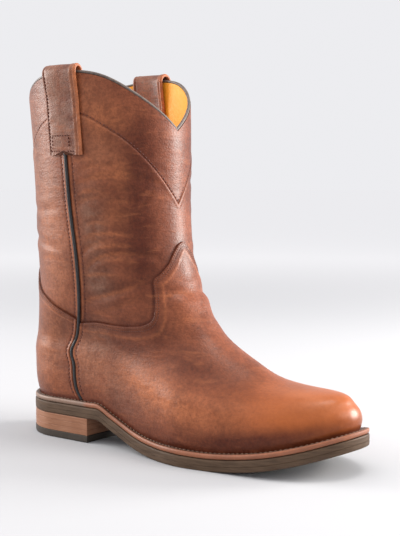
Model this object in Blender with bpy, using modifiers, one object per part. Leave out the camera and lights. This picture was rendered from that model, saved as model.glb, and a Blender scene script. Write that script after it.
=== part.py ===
"""Roper boot for the right foot, standing empty on its sole.

The toe points to +X and the outer side to -Y. The floor is z = 0, and the origin lies on it under the
middle of the heel. Every leather piece is laid on one surface, the form of the last with the shaft
above it. A place on it has a turn round the foot (0 at the back, 0.25 at the outer side seam, 0.5 at
the front, 0.75 at the inner side seam) and a rise (0 on the welt, 1 at the peak of the collar).
"""
import bpy
import numpy as np

# Driving sizes, in metres
OUTSOLE_LENGTH = 0.298
BALL_WIDTH = 0.106
HEEL_LENGTH = 0.079
HEEL_CENTRE = 0.036
COLLAR_HEIGHT = 0.283
SHAFT_DEPTH = 0.134
SHAFT_WIDTH = 0.106
TOE_SPRING = 0.0195

# Thicknesses, in metres
CAP_THICKNESS = 0.0055
STACK_THICKNESS = 0.0135
OUTSOLE_THICKNESS = 0.0088
WELT_THICKNESS = 0.0040
INSOLE_THICKNESS = 0.0035
WALL = 0.0022
OVERLAY = 0.0012
YOKE_STEP = 0.0006
STRAP_THICKNESS = 0.0024
GAP = 0.0003
# The vamp and counter stand a little further off, because they bend over flat facets
OVERLAY_GAP = 0.0004

# Trim, in metres
PIPING_RADIUS = 0.0013
BINDING_RADIUS = 0.0013
STRAP_WIDTH = 0.033
STRAP_OUTER_DROP = 0.061
STRAP_INNER_DROP = 0.042
STRAP_STAND = 0.0066
STRAP_EASE = 0.0016
STRAP_EASE_DROP = 0.022
EDGE_ROUND = 0.0009

# The heel's seat and the height of the upper above it follow from these
SEAT_HEIGHT = CAP_THICKNESS + STACK_THICKNESS
WELT_TOP = SEAT_HEIGHT + OUTSOLE_THICKNESS + WELT_THICKNESS
UPPER_HEIGHT = COLLAR_HEIGHT - WELT_TOP

# Columns and rows of the leather grid, and samples along one section
COUNTER_COLUMNS = 10
VAMP_COLUMNS = 17
FOOT_ROWS = 10
SHAFT_ROWS = 7
YOKE_ROWS = 3
ROW_CROWDING = 1.55
TOE_CROWDING = 0.12
SECTION_SAMPLES = 241
NORMAL_STEP = 0.004
STRAP_COLUMNS = 6
STRAP_LEG_ROWS = 7
STRAP_CROWN_ROWS = 8
CORD_RESOLUTION = 2
SMOOTH_ANGLE = 0.6
# A column or row that ends nearer than this share to the next one is left out
LEAST_STEP = 0.01

# The side seams lie at half the way from the back to the front
SEAM = 0.5

# Colour and roughness of each material
PAINTS = {
    "heel cap rubber": ((0.045, 0.034, 0.027), 0.70),
    "heel lift leather": ((0.250, 0.125, 0.070), 0.50),
    "outsole rubber": ((0.105, 0.078, 0.058), 0.65),
    "welt leather": ((0.360, 0.170, 0.090), 0.50),
    "insole leather": ((0.520, 0.300, 0.140), 0.60),
    "shaft leather": ((0.235, 0.105, 0.062), 0.42),
    "vamp leather": ((0.270, 0.120, 0.070), 0.38),
    "counter leather": ((0.250, 0.120, 0.075), 0.40),
    "piping": ((0.022, 0.020, 0.020), 0.45),
    "binding": ((0.060, 0.045, 0.040), 0.50),
    "strap leather": ((0.220, 0.115, 0.075), 0.45),
}


def table(columns, rows):
    """A table of sections as named columns."""
    values = np.array(rows, dtype=float)
    return {name: values[:, place] for place, name in enumerate(columns.split())}


# Half widths of the sole as shares of BALL_WIDTH, along OUTSOLE_LENGTH
SOLE_WIDTHS = table("along outer inner", [
    (0.00, 0.335, 0.335),
    (0.12, 0.345, 0.350),
    (0.26, 0.350, 0.335),
    (0.38, 0.370, 0.310),
    (0.50, 0.445, 0.350),
    (0.60, 0.500, 0.420),
    (0.68, 0.480, 0.465),
    (0.76, 0.455, 0.480),
    (0.86, 0.445, 0.480),
    (1.00, 0.400, 0.450),
])
# The toe's tip lies to the inner side of the straight axis, as a share of BALL_WIDTH
TOE_SIDE = 0.045
TOE_SIDE_START = 0.45
TOE_SIDE_POWER = 1.5

# Underside of the outsole: the arch as a share of SEAT_HEIGHT, the toe as a share of TOE_SPRING
UNDERSIDE = table("along arch toe", [
    (0.00, 1.00, 0.00),
    (0.27, 1.00, 0.00),
    (0.30, 1.00, 0.00),
    (0.35, 0.68, 0.00),
    (0.43, 0.24, 0.00),
    (0.52, 0.02, 0.00),
    (0.58, 0.00, 0.00),
    (0.70, 0.00, 0.00),
    (0.80, 0.00, 0.18),
    (0.90, 0.00, 0.52),
    (1.00, 0.00, 1.00),
])

# Sections of the upper, one a row. Rise is a share of UPPER_HEIGHT and back a share of OUTSOLE_LENGTH.
# The depth is a share of OUTSOLE_LENGTH plus one of SHAFT_DEPTH, and the width a share of the sole's
# plus one of SHAFT_WIDTH. The rounds at the back and front, and the seam, are shares of the depth.
SECTIONS = table("rise back foot_depth shaft_depth foot_width shaft_width tail nose power seam", [
    (0.000, 0.0180, 0.955, 0.000, 0.870, 0.00, 0.135, 0.285, 2.20, 0.232),
    (0.030, 0.0100, 0.969, 0.000, 0.905, 0.00, 0.140, 0.290, 2.20, 0.222),
    (0.070, 0.0050, 0.960, 0.000, 0.920, 0.00, 0.145, 0.320, 2.10, 0.221),
    (0.110, 0.0030, 0.923, 0.000, 0.905, 0.00, 0.150, 0.390, 2.00, 0.228),
    (0.150, 0.0030, 0.775, 0.000, 0.885, 0.00, 0.165, 0.480, 2.00, 0.256),
    (0.190, 0.0080, 0.690, 0.000, 0.850, 0.00, 0.190, 0.600, 2.00, 0.300),
    (0.240, 0.0180, 0.590, 0.000, 0.660, 0.20, 0.240, 0.680, 2.05, 0.368),
    (0.300, 0.0260, 0.370, 0.350, 0.390, 0.50, 0.330, 0.640, 2.10, 0.436),
    (0.370, 0.0275, 0.170, 0.695, 0.145, 0.76, 0.430, 0.560, 2.05, 0.500),
    (0.450, 0.0250, 0.050, 0.920, 0.000, 0.93, 0.500, 0.520, 2.00, 0.535),
    (0.600, 0.0220, 0.000, 1.000, 0.000, 0.97, 0.520, 0.500, 2.05, 0.530),
    (0.800, 0.0110, 0.000, 1.025, 0.000, 1.00, 0.520, 0.500, 2.10, 0.515),
    (1.050, -0.0120, 0.000, 1.060, 0.000, 1.03, 0.520, 0.500, 2.15, 0.520),
])
# Below this rise the sections bend with the welt, and above it they lie level
LEVEL_RISE = 0.42

# The sole's own outline, in the terms of the sections
SOLE_ROUNDS = {"back": 0.0, "tail": 0.130, "nose": 0.260, "power": 2.25, "seam": 0.232}

# Lines on the leather. The way runs on each side from the back (0) past the seam (0.5) to the front (1).
COLLAR = table("way rise", [
    (0.00, 0.830),
    (0.12, 0.900),
    (0.30, 0.975),
    (0.50, 1.000),
    (0.68, 0.985),
    (0.86, 0.907),
    (1.00, 0.830),
])
YOKE = table("way rise", [
    (0.00, 0.655),
    (0.21, 0.780),
    (0.38, 0.858),
    (0.50, 0.882),
    (0.59, 0.873),
    (0.68, 0.838),
    (0.77, 0.793),
    (0.85, 0.743),
    (0.95, 0.682),
    (1.00, 0.655),
])
COUNTER_LINE = table("way rise", [
    (0.00, 0.430),
    (0.06, 0.424),
    (0.11, 0.404),
    (0.16, 0.370),
    (0.22, 0.340),
    (0.29, 0.318),
    (0.37, 0.292),
    (0.44, 0.272),
    (0.50, 0.256),
])
# The vamp's top edge: foot is the way of the column at the welt, way and rise are where it ends.
# The edge runs forward from the seam, turns up the shaft to an ear and on to the tongue's tip.
VAMP_LINE = table("foot way rise", [
    (0.500, 0.500, 0.247),
    (0.560, 0.575, 0.253),
    (0.620, 0.650, 0.258),
    (0.680, 0.715, 0.265),
    (0.730, 0.767, 0.274),
    (0.765, 0.798, 0.288),
    (0.795, 0.815, 0.312),
    (0.830, 0.826, 0.348),
    (0.875, 0.836, 0.390),
    (0.905, 0.868, 0.407),
    (0.930, 0.906, 0.433),
    (0.965, 0.945, 0.470),
    (0.985, 0.975, 0.491),
    (1.000, 1.000, 0.498),
])

# Edge of the heel's cap, bottom to top: height as a share of its thickness, inset as a share of EDGE_ROUND
CAP_EDGE = table("height inset", [
    (0.00, 1.0),
    (0.16, 0.3),
    (1.00, 0.0),
])
# Edge of the outsole, bottom to top: height as a share of its thickness, inset as a share of EDGE_ROUND
SOLE_EDGE = table("height inset", [
    (0.00, 1.0),
    (0.10, 0.0),
    (0.86, 0.0),
    (1.00, 0.4),
])
# Edge of the welt, bottom to top
WELT_EDGE = table("height inset", [
    (0.00, 0.3),
    (0.70, 0.3),
    (1.00, 1.0),
])
# The leather lifts of the heel, bottom to top: a groove where two lifts meet
LIFTS = table("height inset", [
    (0.00, 0.2),
    (0.32, 0.2),
    (0.34, 0.5),
    (0.36, 0.2),
    (0.66, 0.2),
    (0.68, 0.5),
    (0.70, 0.2),
    (1.00, 0.2),
])


def curve(rows, along, column, at):
    """Smooth curve through a table's points: cubic pieces, each slope the mean of its neighbours'."""
    xs = rows[along]
    ys = rows[column]
    at = np.asarray(at, dtype=float)
    widths = np.diff(xs)
    steps = np.diff(ys) / widths
    slopes = np.empty_like(ys)
    slopes[1:-1] = (steps[:-1] * widths[1:] + steps[1:] * widths[:-1]) / (widths[1:] + widths[:-1])
    slopes[0] = steps[0]
    slopes[-1] = steps[-1]
    i = np.clip(np.searchsorted(xs, at, side="right") - 1, 0, len(xs) - 2)
    width = widths[i]
    t = np.clip((at - xs[i]) / width, 0.0, 1.0)
    start = (1 + 2 * t) * (1 - t) ** 2 * ys[i] + t * (1 - t) ** 2 * width * slopes[i]
    end = t * t * (3 - 2 * t) * ys[i + 1] + t * t * (t - 1) * width * slopes[i + 1]
    return start + end


def ease(t):
    """Smooth step from 0 to 1."""
    t = np.clip(t, 0.0, 1.0)
    return t * t * (3 - 2 * t)


def round_end(distance, length, power=2.0):
    """Width at a rounded end as a share of the full one, a superellipse of the given power."""
    t = np.clip(1 - distance / length, 0.0, 1.0)
    return (1 - t ** power) ** (1 / power)


def underside(along):
    """Height of the outsole's underside."""
    arch = curve(UNDERSIDE, "along", "arch", along) * SEAT_HEIGHT
    return arch + curve(UNDERSIDE, "along", "toe", along) * TOE_SPRING


def resample(x, y, seam, way):
    """Points at a way along each row's half outline: equal steps of its length either side of the seam."""
    run = np.concatenate([np.zeros((len(x), 1)), np.cumsum(np.hypot(np.diff(x), np.diff(y)), axis=1)], axis=1)
    rows = np.arange(len(x))
    place = np.arccos(1 - 2 * seam) / np.pi * (x.shape[1] - 1)
    low = place.astype(int)
    at_seam = run[rows, low] + (place - low) * (run[rows, low + 1] - run[rows, low])
    back = way / SEAM * at_seam
    front = at_seam + (way - SEAM) / (1 - SEAM) * (run[:, -1] - at_seam)
    want = np.where(way < SEAM, back, front)
    i = np.clip((run < want[:, None]).sum(axis=1) - 1, 0, x.shape[1] - 2)
    t = np.clip((want - run[rows, i]) / (run[rows, i + 1] - run[rows, i]), 0.0, 1.0)
    return x[rows, i] + t * (x[rows, i + 1] - x[rows, i]), y[rows, i] + t * (y[rows, i + 1] - y[rows, i])


def half_outline(way, inner, back, depth, foot_width, shaft_width, tail, nose, power, seam):
    """Plan points of one section on its outer or inner half, x measured from the back of the outsole."""
    share = (1 - np.cos(np.linspace(0.0, np.pi, SECTION_SAMPLES)))[None, :] / 2
    x = back[:, None] + share * depth[:, None]
    along = np.clip(x / OUTSOLE_LENGTH, 0.0, 1.0)
    outer_half = curve(SOLE_WIDTHS, "along", "outer", along) * BALL_WIDTH
    inner_half = curve(SOLE_WIDTHS, "along", "inner", along) * BALL_WIDTH
    past = np.clip((along - TOE_SIDE_START) / (1 - TOE_SIDE_START), 0.0, 1.0)
    tip = TOE_SIDE * BALL_WIDTH * foot_width[:, None] * past ** TOE_SIDE_POWER
    fill = round_end(share, tail[:, None]) * round_end(1 - share, nose[:, None], power[:, None])
    shaft_half = shaft_width[:, None] * SHAFT_WIDTH / 2
    y_outer = tip - (foot_width[:, None] * outer_half + shaft_half + tip) * fill
    y_inner = tip + (foot_width[:, None] * inner_half + shaft_half - tip) * fill
    y = np.where(inner[:, None], y_inner, y_outer)
    return resample(x, y, seam, way)


def half_turn(turn):
    """Way from the back to the front and which side, of a turn round the foot."""
    turn = np.mod(turn, 1.0)
    inner = turn > 0.5
    return np.where(inner, 1 - turn, turn) * 2, inner


def form(turn, rise):
    """Points of the leather's outer form."""
    way, inner = half_turn(turn)
    values = {name: curve(SECTIONS, "rise", name, rise) for name in SECTIONS if name != "rise"}
    depth = values["foot_depth"] * OUTSOLE_LENGTH + values["shaft_depth"] * SHAFT_DEPTH
    x, y = half_outline(way, inner, values["back"] * OUTSOLE_LENGTH, depth, values["foot_width"],
                        values["shaft_width"], values["tail"], values["nose"], values["power"], values["seam"])
    follow = ease(1 - rise / LEVEL_RISE)
    bend = underside(np.clip(x / OUTSOLE_LENGTH, 0.0, 1.0)) - SEAT_HEIGHT
    z = WELT_TOP + rise * UPPER_HEIGHT + follow * bend
    return np.stack([x - HEEL_CENTRE, y, z], axis=1)


def leather(turn, rise, offset=0.0):
    """Points that stand off the form by an offset, for arrays of turn and rise of one shape."""
    turn, rise = np.broadcast_arrays(np.asarray(turn, dtype=float), np.asarray(rise, dtype=float))
    shape = turn.shape
    turn = turn.ravel()
    rise = rise.ravel()
    across = form(turn + NORMAL_STEP, rise) - form(turn - NORMAL_STEP, rise)
    up = form(turn, rise + NORMAL_STEP) - form(turn, np.maximum(rise - NORMAL_STEP, 0.0))
    normal = np.cross(across, up)
    normal /= np.linalg.norm(normal, axis=1)[:, None]
    offset = np.broadcast_to(offset, shape).ravel()[:, None]
    return (form(turn, rise) + normal * offset).reshape(shape + (3,))


def sole_outline(turn, inset=0.0):
    """Plan points of the sole's outline, moved inwards by an inset."""
    def plan(at):
        way, inner = half_turn(at)
        same = np.ones(len(at))
        x, y = half_outline(way, inner, same * SOLE_ROUNDS["back"], same * OUTSOLE_LENGTH, same, same * 0.0,
                            same * SOLE_ROUNDS["tail"], same * SOLE_ROUNDS["nose"], same * SOLE_ROUNDS["power"],
                            same * SOLE_ROUNDS["seam"])
        return np.stack([x - HEEL_CENTRE, y], axis=1)
    tangent = plan(turn + NORMAL_STEP) - plan(turn - NORMAL_STEP)
    tangent /= np.linalg.norm(tangent, axis=1)[:, None]
    inward = np.stack([-tangent[:, 1], tangent[:, 0]], axis=1)
    return plan(turn) + inward * inset


def on_sole(plan, height):
    """Plan points lifted to a height above the outsole's underside."""
    along = np.clip((plan[:, 0] + HEEL_CENTRE) / OUTSOLE_LENGTH, 0.0, 1.0)
    return np.column_stack([plan, underside(along) + height])


def half_columns():
    """Ways of the columns on one side, crowded towards the toe."""
    counter = np.linspace(0.0, SEAM, COUNTER_COLUMNS + 1)
    share = np.linspace(0.0, 1.0, VAMP_COLUMNS + 1)[1:]
    vamp = SEAM + (1 - SEAM) * (share + TOE_CROWDING * np.sin(np.pi * share))
    return np.concatenate([counter, vamp])


def round_columns():
    """Turns of the columns once round the foot."""
    ways = half_columns()
    return np.concatenate([ways / 2, 1 - ways[-2:0:-1] / 2])


def overlay_edge(way):
    """Where the column that starts at a way on the welt meets the edge of the vamp or counter."""
    front = way >= SEAM
    edge_way = np.where(front, curve(VAMP_LINE, "foot", "way", way), way)
    vamp_rise = curve(VAMP_LINE, "foot", "rise", way)
    edge_rise = np.where(front, vamp_rise, curve(COUNTER_LINE, "way", "rise", way))
    return edge_way, edge_rise


def foot_grid(ways, first_rise):
    """Ways and rises of the rows from the welt up to the overlays' edge, crowded towards the welt."""
    edge_way, edge_rise = overlay_edge(ways)
    climb = (np.linspace(0.0, 1.0, FOOT_ROWS + 1) ** ROW_CROWDING)[:, None]
    return ways + climb * (edge_way - ways), first_rise + climb * (edge_rise - first_rise)


def shaft_grid(ways):
    """Ways, rises and offsets of the rows from the overlays' edge to the collar, with the yoke's step."""
    edge_way, edge_rise = overlay_edge(ways)
    yoke = curve(YOKE, "way", "rise", ways)
    collar = curve(COLLAR, "way", "rise", ways)
    half_step = YOKE_STEP / UPPER_HEIGHT
    lower = np.linspace(0.0, 1.0, SHAFT_ROWS + 1)[1:, None]
    upper = np.linspace(0.0, 1.0, YOKE_ROWS + 1)[:, None]
    lower_rise = edge_rise + lower * (yoke - half_step - edge_rise)
    upper_rise = (yoke + half_step) + upper * (collar - yoke - half_step)
    lower_way = edge_way + lower * (ways - edge_way)
    way = np.concatenate([lower_way, np.broadcast_to(ways, upper_rise.shape)])
    rise = np.concatenate([lower_rise, upper_rise])
    offset = np.concatenate([np.zeros_like(lower_rise), np.full_like(upper_rise, -YOKE_STEP)])
    return way, rise, offset


def both_sides(grid, mirror_turn=False):
    """A grid of one side's columns continued round the other side, back column first."""
    other = grid[:, -2:0:-1]
    return np.concatenate([grid, 1 - other if mirror_turn else other], axis=1)


def paint(name):
    """Material of one piece, from the table of paints."""
    colour, roughness = PAINTS[name]
    material = bpy.data.materials.new(name)
    material.use_nodes = True
    shader = material.node_tree.nodes["Principled BSDF"]
    shader.inputs["Base Color"].default_value = (*colour, 1.0)
    shader.inputs["Roughness"].default_value = roughness
    return material


def add_mesh(name, points, faces, material):
    """New object of the boot from points and faces."""
    mesh = bpy.data.meshes.new(name)
    mesh.from_pydata(np.asarray(points).tolist(), [], faces)
    mesh.validate()
    mesh.shade_smooth()
    mesh.set_sharp_from_angle(angle=SMOOTH_ANGLE)
    mesh.materials.append(material)
    piece = bpy.data.objects.new(name, mesh)
    boot.objects.link(piece)
    return piece


def add_sheet(name, grid, thickness, outward, closed, material):
    """Grid of points, rows upwards and columns counter-clockwise, given a wall by Solidify.

    Each cell is cut along the same diagonal, so that sheets laid on one grid stay the same distance apart.
    """
    rows, columns = grid.shape[:2]
    last = columns if closed else columns - 1
    faces = []
    for row in range(rows - 1):
        for column in range(last):
            low = row * columns + column
            side = row * columns + (column + 1) % columns
            faces.append((low, side, side + columns))
            faces.append((low, side + columns, low + columns))
    piece = add_mesh(name, grid.reshape(-1, 3), faces, material)
    wall = piece.modifiers.new("wall", "SOLIDIFY")
    wall.thickness = thickness
    wall.offset = 1.0 if outward else -1.0
    return piece


def add_stack(name, loops, material):
    """Closed solid through level loops, lowest first, each counter-clockwise from the back."""
    count = len(loops[0])
    faces = []
    for level in range(len(loops) - 1):
        for i in range(count):
            low = level * count + i
            side = level * count + (i + 1) % count
            faces.append((low, side, side + count, low + count))
    top = (len(loops) - 1) * count
    for i in range((count + 1) // 2):
        strip = [i, i + 1, count - i - 1, (count - i) % count]
        strip = list(dict.fromkeys(strip))
        if len(strip) > 2:
            faces.append(tuple(reversed(strip)))
            faces.append(tuple(top + point for point in strip))
    return add_mesh(name, np.concatenate(loops), faces, material)


def add_ring(name, outer_loops, inner_loops, material):
    """Closed band between an outer wall and an inner wall, each given by its loops, lowest first."""
    loops = list(outer_loops) + list(inner_loops)[::-1]
    count = len(loops[0])
    faces = []
    for level in range(len(loops)):
        after = (level + 1) % len(loops)
        for i in range(count):
            j = (i + 1) % count
            faces.append((level * count + i, level * count + j, after * count + j, after * count + i))
    return add_mesh(name, np.concatenate(loops), faces, material)


def add_tube(name, path, radius, closed, material):
    """Round cord along a path."""
    cord = bpy.data.curves.new(name, "CURVE")
    cord.dimensions = "3D"
    cord.bevel_depth = radius
    cord.bevel_resolution = CORD_RESOLUTION
    cord.use_fill_caps = not closed
    spline = cord.splines.new("POLY")
    spline.points.add(len(path) - 1)
    spline.points.foreach_set("co", np.column_stack([path, np.ones(len(path))]).ravel())
    spline.use_cyclic_u = closed
    cord.materials.append(material)
    piece = bpy.data.objects.new(name, cord)
    boot.objects.link(piece)
    return piece


def breast_way():
    """Way along the sole's outline of the heel's front corner, on each side."""
    ways = np.linspace(0.0, 1.0, SECTION_SAMPLES)
    found = []
    for turns in (ways / 2, 1 - ways / 2):
        x = sole_outline(turns)[:, 0] + HEEL_CENTRE
        found.append(np.interp(HEEL_LENGTH, x, ways))
    return found


def heel_loop(inset, height):
    """Outline of the heel with its straight front edge, moved inwards by an inset."""
    ways = half_columns()
    outer_cut, inner_cut = breast_way()
    common = ways[ways < min(outer_cut, inner_cut) - LEAST_STEP]
    turns = np.concatenate([common / 2, [outer_cut / 2, 1 - inner_cut / 2], 1 - common[:0:-1] / 2])
    plan = sole_outline(turns, inset)
    corners = slice(len(common), len(common) + 2)
    plan[corners, 0] = HEEL_LENGTH - HEEL_CENTRE - inset
    return np.column_stack([plan, np.full(len(plan), height)])


def build_heel():
    """The rubber cap on the floor and the leather lifts above it."""
    cap_loops = [
        heel_loop(inset * EDGE_ROUND, height * CAP_THICKNESS)
        for height, inset in zip(CAP_EDGE["height"], CAP_EDGE["inset"])
    ]
    add_stack("heel_cap", cap_loops, paint("heel cap rubber"))
    low = CAP_THICKNESS + GAP
    high = SEAT_HEIGHT - GAP
    lift_loops = [
        heel_loop(inset * EDGE_ROUND, low + height * (high - low))
        for height, inset in zip(LIFTS["height"], LIFTS["inset"])
    ]
    add_stack("heel_stack", lift_loops, paint("heel lift leather"))


def build_sole():
    """Outsole and welt, one above the other, with the same outline."""
    turns = round_columns()
    sole_loops = [
        on_sole(sole_outline(turns, inset * EDGE_ROUND), height * OUTSOLE_THICKNESS)
        for height, inset in zip(SOLE_EDGE["height"], SOLE_EDGE["inset"])
    ]
    add_stack("outsole", sole_loops, paint("outsole rubber"))
    low = OUTSOLE_THICKNESS + GAP
    high = OUTSOLE_THICKNESS + WELT_THICKNESS
    outer_loops = [
        on_sole(sole_outline(turns, inset * EDGE_ROUND), low + height * (high - low))
        for height, inset in zip(WELT_EDGE["height"], WELT_EDGE["inset"])
    ]
    inside = leather(turns, 0.0, -WALL)[:, :2]
    inner_loops = [on_sole(inside, low), on_sole(inside, high)]
    add_ring("welt", outer_loops, inner_loops, paint("welt leather"))


def build_insole():
    """Leather insole with its filler, inside the welt and on the outsole."""
    plan = leather(round_columns(), 0.0, -(WALL + GAP))[:, :2]
    loops = [
        on_sole(plan, OUTSOLE_THICKNESS + GAP),
        on_sole(plan, OUTSOLE_THICKNESS + WELT_THICKNESS + INSOLE_THICKNESS),
    ]
    add_stack("insole", loops, paint("insole leather"))


def build_upper():
    """One hollow wall of leather from the welt to the collar."""
    ways = half_columns()
    foot_way, foot_rise = foot_grid(ways, GAP / UPPER_HEIGHT)
    shaft_way, shaft_rise, shaft_offset = shaft_grid(ways)
    way = np.concatenate([foot_way, shaft_way])
    rise = np.concatenate([foot_rise, shaft_rise])
    offset = np.concatenate([np.zeros_like(foot_rise), shaft_offset])
    grid = leather(both_sides(way / 2, True), both_sides(rise), both_sides(offset))
    add_sheet("upper", grid, WALL, False, True, paint("shaft leather"))


def way_beside_seam(rise, inner, distance):
    """Way on one side at distances along the leather in front of the seam, or behind it where negative."""
    ways = np.linspace(0.0, 1.0, SECTION_SAMPLES)
    line = leather(1 - ways / 2 if inner else ways / 2, np.full_like(ways, rise))
    run = np.concatenate([[0.0], np.cumsum(np.linalg.norm(np.diff(line, axis=0), axis=1))])
    return np.interp(np.interp(SEAM, ways, run) + distance, run, ways)


def overlay_half(ways, inner):
    """Points of an overlay's columns on one side, above the upper's rows, and two gaps up at the seam."""
    way, rise = foot_grid(ways, GAP / UPPER_HEIGHT)
    rise[0] = (GAP + OVERLAY) / UPPER_HEIGHT
    offset = np.where(ways == SEAM, 2 * OVERLAY_GAP, OVERLAY_GAP)
    return leather(1 - way / 2 if inner else way / 2, rise, offset)


def shift_edge(grid, column, neighbour, distance):
    """Move a grid's edge column towards its neighbour by a distance along each row."""
    step = grid[:, neighbour] - grid[:, column]
    grid[:, column] += step / np.linalg.norm(step, axis=1)[:, None] * distance


def build_overlays():
    """Vamp and counter, laid on the upper and ended beside the piping at both side seams."""
    clear = PIPING_RADIUS + GAP + OVERLAY / 2
    ways = half_columns()
    front = ways[ways >= SEAM]
    vamp = np.concatenate([overlay_half(front, False), overlay_half(front[-2::-1], True)], axis=1)
    back = ways[ways <= SEAM]
    counter = np.concatenate([overlay_half(back[::-1], True), overlay_half(back[1:], False)], axis=1)
    for grid in (vamp, counter):
        shift_edge(grid, 0, 1, clear)
        shift_edge(grid, -1, -2, clear)
    add_sheet("vamp", vamp, OVERLAY, True, False, paint("vamp leather"))
    add_sheet("counter", counter, OVERLAY, True, False, paint("counter leather"))


def build_piping():
    """Dark cord down each side seam, from under the strap to the welt."""
    seam = np.array([SEAM])
    foot_rise = foot_grid(seam, GAP / UPPER_HEIGHT)[1][:, 0]
    foot_rise[0] = (GAP + PIPING_RADIUS) / UPPER_HEIGHT
    shaft_rise = shaft_grid(seam)[1][:, 0]
    top = 1.0 - (STRAP_OUTER_DROP + GAP) / UPPER_HEIGHT
    rise = np.concatenate([foot_rise, shaft_rise[shaft_rise < top - LEAST_STEP], [top]])
    cord = paint("piping")
    for name, turn in (("piping_outer", SEAM / 2), ("piping_inner", 1 - SEAM / 2)):
        path = leather(np.full_like(rise, turn), rise, PIPING_RADIUS + GAP)
        add_tube(name, path, PIPING_RADIUS, False, cord)


def build_binding():
    """Thin cord on the collar's edge, standing square to it."""
    ways = half_columns()
    turn = both_sides(ways[None, :] / 2, True)[0]
    rise = both_sides(curve(COLLAR, "way", "rise", ways)[None, :])[0]
    middle = leather(turn, rise, -YOKE_STEP - WALL / 2)
    outward = leather(turn, rise) - middle
    along = np.roll(middle, -1, axis=0) - np.roll(middle, 1, axis=0)
    above = np.cross(outward, along)
    above /= np.linalg.norm(above, axis=1)[:, None]
    path = middle + above * (BINDING_RADIUS + GAP)
    add_tube("collar_binding", path, BINDING_RADIUS, True, paint("binding"))


def strap_path():
    """Rises and offsets of a strap's outer face: up the outside, over the collar and down the inside."""
    def loosen(drop):
        return STRAP_EASE * ease(1 - drop / STRAP_EASE_DROP)
    outer_drop = STRAP_OUTER_DROP * (1 - np.linspace(0.0, 1.0, STRAP_LEG_ROWS + 1)[:-1])
    inner_drop = STRAP_INNER_DROP * np.linspace(0.0, 1.0, STRAP_LEG_ROWS + 1)[1:]
    angle = np.linspace(0.0, np.pi, STRAP_CROWN_ROWS + 1)
    face = GAP + STRAP_THICKNESS
    outer_offset = face + loosen(outer_drop)
    inner_offset = -YOKE_STEP - WALL - face - loosen(inner_drop)
    outer_top = face + STRAP_EASE
    inner_top = -YOKE_STEP - WALL - face - STRAP_EASE
    crown_offset = (outer_top + inner_top) / 2 + np.cos(angle) * (outer_top - inner_top) / 2
    stand = np.concatenate([-outer_drop, STRAP_STAND * np.sin(angle), -inner_drop])
    return 1 + stand / UPPER_HEIGHT, np.concatenate([outer_offset, crown_offset, inner_offset])


def build_straps():
    """Leather loop over the collar at each side seam, of one width along its length."""
    rise, offset = strap_path()
    across = np.linspace(-0.5, 0.5, STRAP_COLUMNS + 1) * STRAP_WIDTH
    leather_paint = paint("strap leather")
    for name, inner in (("pull_strap_outer", False), ("pull_strap_inner", True)):
        way = np.array([way_beside_seam(level, inner, across) for level in rise])
        turn = (1 - way / 2)[:, ::-1] if inner else way / 2
        spread = np.ones(len(across))
        grid = leather(turn, np.outer(rise, spread), np.outer(offset, spread))
        add_sheet(name, grid, STRAP_THICKNESS, False, False, leather_paint)


for thing in list(bpy.data.objects):
    bpy.data.objects.remove(thing)
boot = bpy.data.collections.new("Roper boot")
bpy.context.scene.collection.children.link(boot)
build_heel()
build_sole()
build_insole()
build_upper()
build_overlays()
build_piping()
build_binding()
build_straps()
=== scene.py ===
"""Roper boot for the right foot, dressed in its leathers, in a plain studio.

Laid out as an add-on and run as a script. The toe points to +X, the outer side to -Y and the floor is
z = 0, with the origin on it under the middle of the heel. All sizes are in metres. Each leather piece is
laid on one form, on which a place has a turn round the foot (0 at the back, 0.25 at the outer side seam,
0.5 at the front, 0.75 at the inner side seam) and a rise (0 on the welt, 1 at the collar's peak).
"""

import bpy
import numpy as np
from bpy.props import FloatProperty, FloatVectorProperty, PointerProperty
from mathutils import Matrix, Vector


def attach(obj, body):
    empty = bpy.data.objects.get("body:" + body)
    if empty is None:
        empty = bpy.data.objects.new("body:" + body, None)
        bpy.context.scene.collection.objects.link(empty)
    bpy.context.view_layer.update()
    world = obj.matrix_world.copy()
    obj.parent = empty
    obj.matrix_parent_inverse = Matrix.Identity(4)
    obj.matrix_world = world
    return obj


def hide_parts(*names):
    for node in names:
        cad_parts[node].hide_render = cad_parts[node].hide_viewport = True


bl_info = {
    "name": "Roper boot",
    "version": (1, 0, 0),
    "blender": (4, 5, 0),
    "location": "3D View > Sidebar > Boot",
    "description": "Builds the leathers, trim, soles and studio of a right roper boot",
    "category": "Object",
}

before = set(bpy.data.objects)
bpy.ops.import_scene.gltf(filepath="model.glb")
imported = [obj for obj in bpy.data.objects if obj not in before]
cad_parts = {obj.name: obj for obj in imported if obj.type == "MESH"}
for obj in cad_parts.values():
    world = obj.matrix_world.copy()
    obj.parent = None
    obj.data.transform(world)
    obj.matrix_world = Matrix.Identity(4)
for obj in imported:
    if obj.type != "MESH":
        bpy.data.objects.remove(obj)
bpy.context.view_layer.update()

# Sizes of the form, the same as the solids'
OUTSOLE_LENGTH = 0.298
BALL_WIDTH = 0.106
HEEL_LENGTH = 0.079
HEEL_CENTRE = 0.036
COLLAR_HEIGHT = 0.283
SHAFT_DEPTH = 0.134
SHAFT_WIDTH = 0.106
TOE_SPRING = 0.0195
CAP_THICKNESS = 0.0055
STACK_THICKNESS = 0.0135
OUTSOLE_THICKNESS = 0.0088
WELT_THICKNESS = 0.0040
INSOLE_THICKNESS = 0.0035
GAP = 0.0003
STRAP_WIDTH = 0.033
STRAP_OUTER_DROP = 0.061
STRAP_INNER_DROP = 0.042
STRAP_STAND = 0.0066
STRAP_EASE_DROP = 0.022
STRAP_LOOSE = 0.0018
SEAT_HEIGHT = CAP_THICKNESS + STACK_THICKNESS
WELT_TOP = SEAT_HEIGHT + OUTSOLE_THICKNESS + WELT_THICKNESS
UPPER_HEIGHT = COLLAR_HEIGHT - WELT_TOP
SEAM = 0.5
SEAM_TURNS = (SEAM / 2, 1 - SEAM / 2)
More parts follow.
